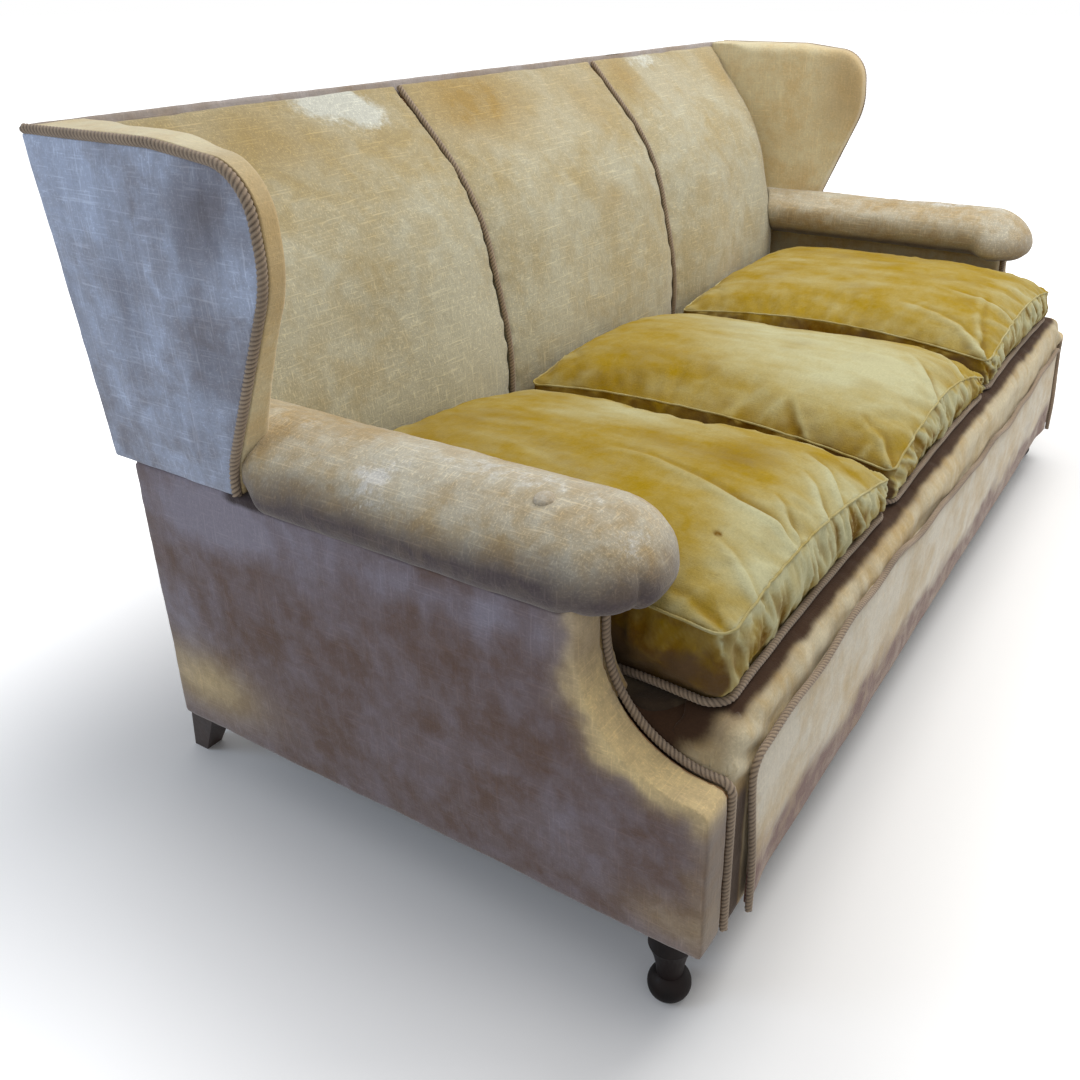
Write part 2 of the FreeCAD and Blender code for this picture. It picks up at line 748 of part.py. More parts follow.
button_peak = roll_z + roll_r + button_h
button_l = button_h + button_sink
button = Part.makeCylinder(button_d / 2, button_l, Vector(-button_x, button_y, button_peak - button_l))
save("arm_button", button.cut(left_arm_pad))

inside_arm = slab(inset(arm_corners(base_z, frame_face_y + cover_t, arm_top_z + cover_t), cover_t),
                  inside_x, frame_in_x)
inside_arm = inside_arm.common(box(inside_x, frame_in_x, cover_front_y, frame_face_y, panel_z, arm_top_z))
save_pair("inside_arm", inside_arm)

facing = slab(arm_corners(base_z, board_back_y, arm_top_z), frame_in_x, frame_out_x)
behind = inset(arm_corners(base_z - 2 * cover_t, board_back_y + 2 * cover_t, arm_top_z + 2 * cover_t), cover_t)
facing = facing.cut(slab(behind, frame_in_x - spare, frame_out_x + spare))
save_pair("arm_facing", facing)

cord_proud = cord_out - cover_t
front_line = inset(arm_corners(base_z + cord_proud, board_back_y, arm_top_z - cord_proud), -cord_proud)
arm_cord = path_edges([front_line[0], front_line[5], front_line[4], front_line[3]],
                      across(frame_in_x - cord_out), False)
save_pair("arm_cord", tube(arm_cord, cord_d))

lap_y = wing_foot_y + cord_d + clearance
arm_cover = slab(arm_corners(base_z, lower_back_y, arm_top_z), frame_out_x, side_x)
lap = box(frame_out_x, side_x, lap_y, lower_back_y, arm_top_z, hem_z + wing_lap - clearance)
save_pair("outside_arm", arm_cover.fuse(lap).removeSplitter())

# Wings: cover outside, cord on the outer edge, pad inside with its cover pulled round the board's edge
wing_rim = cord_d + clearance
wing_cover = slab(inset(wing_corners(hem_z - wing_rim, wing_rim), wing_rim), frame_out_x, side_x + wing_proud)
lap_space = box(frame_out_x - spare, side_x, wing_nose_y, lower_back_y + clearance,
                hem_z - spare, hem_z + wing_lap)
save_pair("outside_wing", wing_cover.cut(lap_space))

wing_rim_line = inset(wing_corners(hem_z - cord_r, cord_r), cord_r)
wing_cord_corners = [wing_rim_line[0]] + wing_rim_line[:1:-1]
save_pair("wing_cord", tube(path_edges(wing_cord_corners, across(frame_out_x + cord_out), False), cord_d))

wing_pad = slab(wing_corners(arm_top_z, -cover_t), inside_x, wing_x)
wing_pad = wing_pad.cut(box(inside_x - spare, wing_x + spare, 0, depth, 0, roll_z))
roll_top = roll_arcs(1, clearance) + roll_arcs(-1, clearance)[::-1]
roll_base = Part.LineSegment(roll_place(-roll_half - clearance, 0), roll_place(roll_half + clearance, 0)).toShape()
roll_space = Part.Face(Part.Wire(roll_top + [roll_base])).extrude(Vector(0, depth, 0))
thinning = Part.Face(Part.makePolygon([
    Vector(inside_x - spare, wing_nose_y - spare, 0),
    Vector(inside_x + wing_pad_in, wing_nose_y - spare, 0),
    Vector(inside_x, panel_foot_y, 0),
    Vector(inside_x - spare, panel_foot_y, 0),
    Vector(inside_x - spare, wing_nose_y - spare, 0),
])).extrude(Vector(0, 0, height))
wing_pad = wing_pad.cut(roll_space).cut(thinning)
wrap = slab(wing_corners(arm_top_z, -cover_t), wing_x, frame_out_x)
wrap = wrap.cut(slab(inset(wing_corners(arm_top_z - cover_t, 2 * cover_t), cover_t), wing_x, frame_out_x))
save_pair("inside_wing", wing_pad.fuse(wrap).cut(post).cut(top_rail).removeSplitter())

# Outside back in two parts with the step between them, and the dust cover under the seat
save("outside_back_lower", box(-frame_out_x, frame_out_x, frame_back_y, lower_back_y, base_z, hem_z - cover_t))

save("outside_back_upper", slab([
    (frame_back_y, hem_z - cover_t),
    (outside_back_y(hem_z - cover_t), hem_z - cover_t),
    (depth / 2, height),
    (depth / 2 - cover_t, height),
    (outside_back_y(hem_z) - cover_t, hem_z),
    (frame_back_y, hem_z),
], -frame_out_x, frame_out_x))

dust_cover = box(-foot_x, foot_x, frame_front_y + rail_t / 2, frame_face_y + rail_t,
                 base_z, base_z + dust_t)
for x_side in (-1, 1):
    notch_from = x_side * foot_x - side_frame_t
    notch_to = x_side * foot_x + side_frame_t
    front_notch = box(notch_from, notch_to, front_y, foot_y + side_frame_t, base_z - spare, rail_z)
    back_notch = box(notch_from, notch_to, frame_face_y - clearance, depth / 2, base_z - spare, rail_z)
    dust_cover = dust_cover.cut(front_notch).cut(back_notch)
save("dust_cover", dust_cover)

# Loose cushions: drawn-in sides between round corners, boxed side, crowned top
cushion_z = deck_z + 2 * clearance
cushion_from_y = front_y + cord_d + cushion_front
cushion_to_y = lumbar_y - panel_crown - cushion_back


def cushion_plan(x_middle, z, inside):
    """Plan of a cushion at height z, an amount inside its outer edge."""
    half_x = cushion_w / 2 - inside
    half_y = (cushion_to_y - cushion_from_y) / 2 - inside
    left = x_middle - half_x
    right = x_middle + half_x
    middle_y = (cushion_from_y + cushion_to_y) / 2
    low = middle_y - half_y
    high = middle_y + half_y
    draw_x = cushion_draw * (half_y / cushion_w * 2) ** 2
    draw_y = cushion_draw * (half_x / cushion_w * 2) ** 2
    return path_edges([
        (left, low, cushion_r),
        (x_middle, low + draw_y, cushion_side_r),
        (right, low, cushion_r),
        (right - draw_x, middle_y, cushion_side_r),
        (right, high, cushion_r),
        (x_middle, high - draw_y, cushion_side_r),
        (left, high, cushion_r),
        (left + draw_x, middle_y, cushion_side_r),
    ], lambda u, v: Vector(u, v, z))


def cushion_wire(x_middle, z, inside):
    return Part.Wire(cushion_plan(x_middle, z, inside))


cord_space = cord_d + 2 * clearance
seam_z = cushion_z + cushion_side


def cushion(x_middle):
    """Side from its cord space to the top seam, then the crown in smooth loft."""
    sides = [
        cushion_wire(x_middle, cushion_z, cord_space),
        cushion_wire(x_middle, cushion_z + cord_space, cord_space),
    ]
    for share, inside in cushion_side_shape:
        sides.append(cushion_wire(x_middle, cushion_z + share * cushion_side, inside))
    tops = []
    for share, inside in cushion_top_shape:
        tops.append(cushion_wire(x_middle, seam_z + share * cushion_crown, inside))
    return Part.makeLoft(sides, True, True).fuse(Part.makeLoft(tops, True, False))


def cushion_cord(x_middle):
    return tube(cushion_plan(x_middle, cushion_z + cord_r, cord_r), cord_d)


pitch = cushion_w + cushion_gap
first_x = -inside_x + cushion_start + cushion_w / 2
for place, name in enumerate(("left", "centre", "right")):
    x_middle = first_x + place * pitch
    save("seat_cushion_" + name, cushion(x_middle))
    save("cushion_cord_" + name, cushion_cord(x_middle))
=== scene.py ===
import json
import math

import bmesh
import bpy
from mathutils import Matrix, Vector, noise
from mathutils.kdtree import KDTree

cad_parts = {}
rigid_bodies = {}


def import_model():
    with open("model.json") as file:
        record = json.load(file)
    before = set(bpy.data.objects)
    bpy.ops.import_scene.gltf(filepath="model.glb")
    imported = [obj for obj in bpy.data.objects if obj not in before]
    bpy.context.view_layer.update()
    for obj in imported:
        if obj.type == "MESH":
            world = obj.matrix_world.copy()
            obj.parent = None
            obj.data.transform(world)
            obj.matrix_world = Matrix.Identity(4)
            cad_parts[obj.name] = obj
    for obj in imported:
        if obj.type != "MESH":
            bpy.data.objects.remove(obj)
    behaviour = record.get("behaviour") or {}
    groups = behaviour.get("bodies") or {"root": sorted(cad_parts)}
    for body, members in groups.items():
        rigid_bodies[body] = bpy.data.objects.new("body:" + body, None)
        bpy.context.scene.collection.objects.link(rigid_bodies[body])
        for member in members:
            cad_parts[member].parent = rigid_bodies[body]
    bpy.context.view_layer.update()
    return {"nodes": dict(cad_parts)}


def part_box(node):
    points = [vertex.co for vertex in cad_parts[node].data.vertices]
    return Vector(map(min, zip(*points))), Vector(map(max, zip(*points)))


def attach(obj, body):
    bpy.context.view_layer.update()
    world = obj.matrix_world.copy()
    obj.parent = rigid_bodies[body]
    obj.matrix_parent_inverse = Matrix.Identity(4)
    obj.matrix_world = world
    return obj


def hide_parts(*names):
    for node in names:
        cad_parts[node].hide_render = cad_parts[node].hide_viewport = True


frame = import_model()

nodes = frame["nodes"]
scene = bpy.context.scene

# Camera: level with the top of the back, off the near front corner, looking down along the seat. Its place,
# turn and lens were fitted to points read in the photo.
yaw = math.radians(57.944)
pitch = math.radians(26.464)
roll = math.radians(0.223)
forward = Vector((math.sin(yaw) * math.cos(pitch), math.cos(yaw) * math.cos(pitch), -math.sin(pitch)))
level = Vector((math.cos(yaw), -math.sin(yaw), 0))
above = level.cross(forward)
right = level * math.cos(roll) - above * math.sin(roll)
up = level * math.sin(roll) + above * math.cos(roll)
camera_data = bpy.data.cameras.new("camera")
camera_data.sensor_width = 36
camera_data.lens = 1061.2 / 1080 * 36
camera_data.shift_x = (540 - 591.86) / 1080
camera_data.shift_y = (498.8 - 540) / 1080
camera = bpy.data.objects.new("camera", camera_data)
scene.collection.objects.link(camera)
camera.matrix_world = Matrix((
    (right.x, up.x, -forward.x, -1.7127),
    (right.y, up.y, -forward.y, -0.7991),
    (right.z, up.z, -forward.z, 1.0935),
    (0, 0, 0, 1),
))
scene.camera = camera

# Light: a wide soft lamp high over the far end, a smaller one nearer the seat, and a cool window behind the
# near end. The surround is even and pale, and white where the camera looks straight at it.
scene.view_settings.view_transform = "Standard"


def lamp(name, place, target, size, power, colour):
    """Round soft lamp at a place, facing a target."""
    data = bpy.data.lights.new(name, "AREA")
    data.shape = "DISK"
    data.size = size
    data.energy = power
    data.color = colour
    obj = bpy.data.objects.new(name, data)
    obj.location = place
    obj.rotation_euler = (Vector(target) - Vector(place)).to_track_quat("-Z", "Y").to_euler()
    scene.collection.objects.link(obj)


lamp("ceiling_lamp", (1.3, -0.7, 3.3), (0.0, 0.0, 0.4), 2.2, 70, (1.0, 0.98, 0.95))
lamp("far_lamp", (-0.5, -0.9, 2.3), (0.9, 0.2, 0.65), 1.0, 9, (1.0, 0.97, 0.92))
lamp("window_light", (-2.3, 1.3, 1.5), (-0.9, 0.3, 0.75), 0.9, 8, (0.66, 0.80, 1.0))


def wired(tree, kind, links=(), **settings):
    """A new node with its properties set and its inputs linked or given values."""
    node = tree.nodes.new(kind)
    for key, value in settings.items():
        setattr(node, key, value)
    for socket, value in links:
        if isinstance(value, bpy.types.NodeSocket):
            tree.links.new(value, node.inputs[socket])
        else:
            node.inputs[socket].default_value = value
    return node


def maths(tree, operation, a, b=0.0, c=0.0, clamp=False):
    """Result of a sum on sockets or numbers."""
    node = wired(tree, "ShaderNodeMath", [(0, a), (1, b), (2, c)], operation=operation, use_clamp=clamp)
    return node.outputs[0]


scene.world = bpy.data.worlds.new("surround")
scene.world.use_nodes = True
tree = scene.world.node_tree
tree.nodes.clear()
path = wired(tree, "ShaderNodeLightPath")
glow = wired(tree, "ShaderNodeBackground", [("Color", (0.97, 0.98, 1.0, 1)), ("Strength", 0.40)])
white = wired(tree, "ShaderNodeBackground", [("Color", (1, 1, 1, 1)), ("Strength", 1.0)])
seen = maths(tree, "MAXIMUM", path.outputs["Is Camera Ray"], path.outputs["Is Glossy Ray"])
choose = wired(tree, "ShaderNodeMixShader", [(0, seen), (1, glow.outputs[0]), (2, white.outputs[0])])
wired(tree, "ShaderNodeOutputWorld", [("Surface", choose.outputs[0])])

# Floor: plain, pale and dull. Away from the sofa it runs into the white of the surround, for the camera only.
# The white grows with the distance from the sofa, so close round it the floor stays greyer, as painted
# shadow.
floor_mesh = bpy.data.meshes.new("floor")
floor_mesh.from_pydata([(-30, -30, 0), (30, -30, 0), (30, 30, 0), (-30, 30, 0)], [], [(0, 1, 2, 3)])
floor = bpy.data.objects.new("floor", floor_mesh)
scene.collection.objects.link(floor)


def new_material(name):
    """A material, its node tree and its main shader."""
    material = bpy.data.materials.new(name)
    material.use_nodes = True
    tree = material.node_tree
    return material, tree, tree.nodes["Principled BSDF"]


def ramp(tree, value, low, high):
    """0 below low, 1 above high, smooth between."""
    node = wired(tree, "ShaderNodeMapRange", [("Value", value), ("From Min", low), ("From Max", high)],
                 interpolation_type="SMOOTHSTEP")
    return node.outputs["Result"]


floor_material, tree, shader = new_material("pale_floor")
shader.inputs["Base Color"].default_value = (0.93, 0.93, 0.93, 1)
shader.inputs["Roughness"].default_value = 0.9
shader.inputs["Specular IOR Level"].default_value = 0.0
place = wired(tree, "ShaderNodeTexCoord").outputs["Object"]
mirrored = wired(tree, "ShaderNodeVectorMath", [(0, place)], operation="ABSOLUTE")
past = wired(tree, "ShaderNodeVectorMath", [(0, mirrored.outputs[0]), (1, (0.90, 0.42, 0))],
             operation="SUBTRACT")
outside = wired(tree, "ShaderNodeVectorMath", [(0, past.outputs[0])], operation="MAXIMUM")
away = wired(tree, "ShaderNodeVectorMath", [(0, outside.outputs[0])], operation="LENGTH")
path = wired(tree, "ShaderNodeLightPath")
# painted shadow: close round the sofa no white is added, so the floor stays greyer there
seen = maths(tree, "MULTIPLY", path.outputs["Is Camera Ray"], ramp(tree, away.outputs["Value"], -0.1, 1.1))
white = wired(tree, "ShaderNodeEmission", [("Strength", seen)])
both = wired(tree, "ShaderNodeAddShader", [(0, shader.outputs[0]), (1, white.outputs[0])])
tree.links.new(both.outputs[0], tree.nodes["Material Output"].inputs["Surface"])
floor_mesh.materials.append(floor_material)

# Wooden frame: beech rails, boards and posts, dowelled and glued, with blocks in the corners of the seat.
# The covers hide all but the lower ends of the back posts, which are the rear legs, and the turned front
# feet, which are stained dark.
def colour(r, g, b):
    """A colour as it looks on screen, 0 to 255, for a shader's socket."""
    return tuple(((c / 255 + 0.055) / 1.055) ** 2.4 if c > 10 else c / 3294.6 for c in (r, g, b)) + (1.0,)


def blended(tree, factor, a, b, kind="MIX"):
    """Colour that goes from a to b with the factor."""
    node = wired(tree, "ShaderNodeMix", data_type="RGBA", blend_type=kind)
    for socket, value in ((node.inputs[0], factor), (node.inputs[6], a), (node.inputs[7], b)):
        if isinstance(value, bpy.types.NodeSocket):
            tree.links.new(value, socket)
        else:
            socket.default_value = value
    return node.outputs[2]


def frame_wood(name, pale, dark, stained_below=None, grain=(2.2, 40, 40)):
    """Wood with its grain along the axis that grain stretches, stained dark below a height."""
    material, tree, shader = new_material(name)
    place = wired(tree, "ShaderNodeTexCoord").outputs["Object"]
    way = wired(tree, "ShaderNodeVectorMath", [(0, place), (1, grain)], operation="MULTIPLY")
    rings = wired(tree, "ShaderNodeTexNoise", [("Vector", way.outputs[0]), ("Scale", 1.0), ("Detail", 6.0),
                                               ("Distortion", 0.8)])
    pores = wired(tree, "ShaderNodeTexNoise", [("Vector", way.outputs[0]), ("Scale", 9.0), ("Detail", 3.0)])
    coat = blended(tree, ramp(tree, rings.outputs["Fac"], 0.35, 0.65), pale, dark)
    if stained_below:
        height = wired(tree, "ShaderNodeSeparateXYZ", [(0, place)]).outputs["Z"]
        stain = ramp(tree, height, stained_below + 0.01, stained_below - 0.01)
        stained = blended(tree, rings.outputs["Fac"], colour(30, 20, 17), colour(58, 38, 30))
        coat = blended(tree, stain, coat, stained)
    tree.links.new(coat, shader.inputs["Base Color"])
    tree.links.new(maths(tree, "MULTIPLY_ADD", pores.outputs["Fac"], 0.25, 0.4), shader.inputs["Roughness"])
    bump = wired(tree, "ShaderNodeBump", [("Height", pores.outputs["Fac"]), ("Strength", 0.25),
                                          ("Distance", 0.0006)])
    tree.links.new(bump.outputs[0], shader.inputs["Normal"])
    return material


def dress(material, *names):
    """Gives carried-over solids a material."""
    for name in names:
        data = nodes[name].data
        data.materials.clear()
        data.materials.append(material)


beech = (colour(196, 158, 112), colour(164, 122, 80))
rear_leg_top = 0.106
rail_wood = frame_wood("rail_beech", *beech)
upright_wood = frame_wood("upright_beech", *beech, grain=(40, 40, 2.2))
side_wood = frame_wood("side_beech", *beech, grain=(40, 2.2, 40))
post_wood = frame_wood("post_beech", *beech, stained_below=rear_leg_top, grain=(40, 40, 2.2))
dress(rail_wood, "front_rail", "back_seat_rail", "back_middle_rail", "back_top_rail", "corner_blocks")
dress(side_wood, "left_side_rail", "right_side_rail", "seat_cross_rails", "left_arm_rail", "right_arm_rail")
dress(upright_wood, "back_uprights", "left_front_board", "right_front_board", "left_wing_board",
      "right_wing_board")
dress(post_wood, "left_back_post", "right_back_post")
foot_wood = frame_wood("foot_stain", colour(15, 11, 11), colour(27, 18, 16), grain=(30, 30, 6))
for label, value in (("Specular IOR Level", 0.15), ("Coat Weight", 0.03), ("Coat Roughness", 0.25)):
    foot_wood.node_tree.nodes["Principled BSDF"].inputs[label].default_value = value
dress(foot_wood, "left_front_foot", "right_front_foot")


# Springs, webbing and canvas: strips of jute web, woven over and under each other and tacked to the rails,
# carry coil springs of coppered wire, and hessian over the springs carries the stuffing. A black lining is
# tacked on from below. They show only with the cushions out, or from below.
def plain_weave(name, warp, weft, scale):
    """Coarse cloth of two crossing threads; a larger scale is a finer weave."""
    material, tree, shader = new_material(name)
    place = wired(tree, "ShaderNodeTexCoord").outputs["Object"]
    axes = wired(tree, "ShaderNodeSeparateXYZ", [(0, place)])
    waves = [maths(tree, "SINE", maths(tree, "MULTIPLY", axes.outputs[axis], scale)) for axis in "XYZ"]
    check = maths(tree, "MULTIPLY", maths(tree, "ADD", waves[0], waves[2]), waves[1])
    spots = wired(tree, "ShaderNodeTexNoise", [("Vector", place), ("Scale", 30.0), ("Detail", 5.0)])
    share = maths(tree, "MULTIPLY_ADD", check, 0.3, spots.outputs["Fac"], clamp=True)
    tree.links.new(blended(tree, share, warp, weft), shader.inputs["Base Color"])
    shader.inputs["Roughness"].default_value = 0.95
    shader.inputs["Specular IOR Level"].default_value = 0.1
    bump = wired(tree, "ShaderNodeBump", [("Height", check), ("Strength", 0.4), ("Distance", 0.0008)])
    tree.links.new(bump.outputs[0], shader.inputs["Normal"])
    return material


jute = plain_weave("jute_web", colour(150, 122, 84), colour(188, 158, 112), 1900)
hessian = plain_weave("hessian", colour(140, 118, 86), colour(176, 152, 112), 2400)
black_lining = plain_weave("black_lining", colour(38, 36, 36), colour(58, 55, 54), 3200)
wire, tree, shader = new_material("coppered_wire")
place = wired(tree, "ShaderNodeTexCoord").outputs["Object"]
tarnish = wired(tree, "ShaderNodeTexNoise", [("Vector", place), ("Scale", 45.0), ("Detail", 5.0)])
tree.links.new(blended(tree, ramp(tree, tarnish.outputs["Fac"], 0.4, 0.65),
                       colour(150, 104, 76), colour(84, 60, 48)), shader.inputs["Base Color"])
shader.inputs["Metallic"].default_value = 0.85
tree.links.new(maths(tree, "MULTIPLY_ADD", tarnish.outputs["Fac"], 0.4, 0.25), shader.inputs["Roughness"])
dress(wire, "seat_springs")


def smoothed(mesh):
    for polygon in mesh.polygons:
        polygon.use_smooth = True


def sheet(name, across, along, place, material, node):
    """Flat cloth over across by along steps; place(s, t) gives its points for shares s and t."""
    points = [place(i / across, j / along) for j in range(along + 1) for i in range(across + 1)]
    faces = []
    for j in range(along):
        for i in range(across):
            a = j * (across + 1) + i
            faces.append((a, a + 1, a + across + 2, a + across + 1))
    mesh = bpy.data.meshes.new(name)
    mesh.from_pydata([tuple(p) for p in points], [], faces)
    mesh.materials.append(material)
    piece = bpy.data.objects.new(name, mesh)
    scene.collection.objects.link(piece)
    smoothed(mesh)
    if node:
        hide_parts(node)
    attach(piece, "sofa")
    return piece


strip = 0.050
over = 0.0009
web_z = 0.1115
back_to_front = 0.8462
side_to_side = 1.892
web_x = (-0.7419, -0.4816, -0.1302, 0.1302, 0.4816, 0.7419)
web_y = (-0.2955, -0.0430, 0.2100)


def woven(place, crossings, first):
    """How far a strip stands over or under the strips that it crosses, at a place along it."""
    wave = 0
    for i, cross in enumerate(crossings):
        wave += (2 * ((first + i) % 2) - 1) * math.exp(-((place - cross) / 0.06) ** 2) * 0.9
    return over * wave


for i, x in enumerate(web_x):
    def place(s, t):
        y = -0.4577 + back_to_front * t
        return Vector((x + strip * (s - 0.5), y, web_z + woven(y, web_y, i)))
    sheet("seat_web_back_" + str(i + 1), 4, 90, place, jute, "seat_webbing" if i == 0 else None)
for j, y in enumerate(web_y):
    def place(s, t):
        x = side_to_side * (t - 0.5)
        return Vector((x, y + strip * (s - 0.5), web_z - woven(x, web_x, j)))
    sheet("seat_web_side_" + str(j + 1), 4, 190, place, jute, None)


def back_line(t, forward):
    """Place up the back frame: upright to the arms, then leaning with the posts."""
    low, bend, top = Vector((0.3415, 0.1838)), Vector((0.3415, 0.5)), Vector((0.4257, 0.870))
    first = (bend - low).length
    whole = first + (top - bend).length
    way = t * whole
    p = low.lerp(bend, way / first) if way < first else bend.lerp(top, (way - first) / (whole - first))
    return Vector((p.x - forward, p.y))


for i, x in enumerate(web_x):
    def place(s, t):
        p = back_line(t, 0)
        return Vector((x + strip * (s - 0.5), p.x, p.y))
    sheet("back_web_" + str(i + 1), 4, 60, place, jute, "back_webbing" if i == 0 else None)


def fbm(place, size, seed, octaves=3):
    """Noise from about -1 to 1 with bumps of that size; size may differ along each axis."""
    if not hasattr(size, "__len__"):
        size = (size, size, size)
    where = Vector((place[0] / size[0] + seed * 7.3, place[1] / size[1] - seed * 3.1,
                    place[2] / size[2] + seed))
    return noise.fractal(where, 0.9, 2.1, octaves, noise_basis="PERLIN_ORIGINAL")


def back_cloth(s, t):
    p = back_line(t, 0.002 + 0.0008 * fbm((s * 9, 0, t * 4), 1.0, 2.0))
    return Vector((-0.8717 + 1.7434 * s, p.x, p.y))


def seat_cloth(s, t):
    """Hessian over the springs, turned down at the sides."""
    x = -0.9007 + 1.8014 * s
    y = -0.4274 + 0.7656 * t
    tacked = 0.884
    past = max(0.0, abs(x) - tacked)
    return Vector((math.copysign(abs(x) - past, x), y, 0.3470 - past + 0.0008 * fbm((x, y, 0), 0.12, 4.0)))


def lining_cloth(s, t):
    x = -0.9235 + 1.847 * s
    y = -0.4427 + 0.8152 * t
    sag = math.sin(math.pi * s) * math.sin(math.pi * t)
    return Vector((x, y, 0.1088 - 0.0006 * sag))


sheet("back_hessian", 120, 50, back_cloth, hessian, "back_canvas")
sheet("spring_hessian", 120, 50, seat_cloth, hessian, "spring_canvas")
sheet("bottom_lining", 120, 50, lining_cloth, black_lining, "dust_cover")

# Deck: a thin stuffed pad over the springs, in plain cloth because the cushions hide it, dark in front where
# the shade of the cushions falls.
def new_group(name, inputs, outputs):
    """Node group with sockets (label, kind, value) and (label, kind)."""
    group = bpy.data.node_groups.new(name, "ShaderNodeTree")
    for label, kind, value in inputs:
        socket = group.interface.new_socket(label, in_out="INPUT", socket_type=kind)
        if value is not None:
            socket.default_value = value
    for label, kind in outputs:
        group.interface.new_socket(label, in_out="OUTPUT", socket_type=kind)
    source = group.nodes.new("NodeGroupInput")
    result = group.nodes.new("NodeGroupOutput")
    return group, source, result


threads, source, result = new_group(
    "threads", [("Vector", "NodeSocketVector", None), ("Fineness", "NodeSocketFloat", 1.0)],
    [("Height", "NodeSocketFloat"), ("Slubs", "NodeSocketFloat")])
scaled = wired(threads, "ShaderNodeVectorMath", [(0, source.outputs["Vector"])], operation="SCALE")
threads.links.new(source.outputs["Fineness"], scaled.inputs["Scale"])
heights = []
slubs = []
for stretch in ((14, 420, 420), (420, 14, 420), (420, 420, 14)):
    way = wired(threads, "ShaderNodeVectorMath", [(0, scaled.outputs[0]), (1, stretch)], operation="MULTIPLY")
    fine = wired(threads, "ShaderNodeTexNoise", [("Vector", way.outputs[0]), ("Scale", 1.0), ("Detail", 2.0)])
    heights.append(fine.outputs["Fac"])
    slubs.append(ramp(threads, fine.outputs["Fac"], 0.56, 0.74))
height = maths(threads, "MAXIMUM", maths(threads, "MAXIMUM", heights[0], heights[1]), heights[2])
marks = maths(threads, "ADD", maths(threads, "ADD", slubs[0], slubs[1]), slubs[2], clamp=True)
threads.links.new(height, result.inputs["Height"])
threads.links.new(marks, result.inputs["Slubs"])

nap, source, result = new_group(
    "nap", [("Vector", "NodeSocketVector", None), ("Offset", "NodeSocketVector", None),
            ("Size", "NodeSocketFloat", 0.12)],
    [("Broad", "NodeSocketFloat"), ("Brushed", "NodeSocketFloat"), ("Fine", "NodeSocketFloat")])
moved = wired(nap, "ShaderNodeVectorMath", [(0, source.outputs["Vector"]), (1, source.outputs["Offset"])],
              operation="ADD")
inverse = maths(nap, "DIVIDE", 1.0, source.outputs["Size"])
sized = wired(nap, "ShaderNodeVectorMath", [(0, moved.outputs[0])], operation="SCALE")
nap.links.new(inverse, sized.inputs["Scale"])
broad = wired(nap, "ShaderNodeTexNoise", [("Vector", sized.outputs[0]), ("Scale", 1.0), ("Detail", 5.0),
                                          ("Roughness", 0.55), ("Distortion", 0.3)])
brushed = wired(nap, "ShaderNodeTexNoise", [("Vector", sized.outputs[0]), ("Scale", 4.5), ("Detail", 4.0),
                                            ("Roughness", 0.6), ("Distortion", 0.3)])
fine = wired(nap, "ShaderNodeTexNoise", [("Vector", sized.outputs[0]), ("Scale", 26.0), ("Detail", 4.0),
                                         ("Roughness", 0.7)])
nap.links.new(ramp(nap, broad.outputs["Fac"], 0.36, 0.64), result.inputs["Broad"])
nap.links.new(ramp(nap, brushed.outputs["Fac"], 0.34, 0.68), result.inputs["Brushed"])
nap.links.new(fine.outputs["Fac"], result.inputs["Fine"])


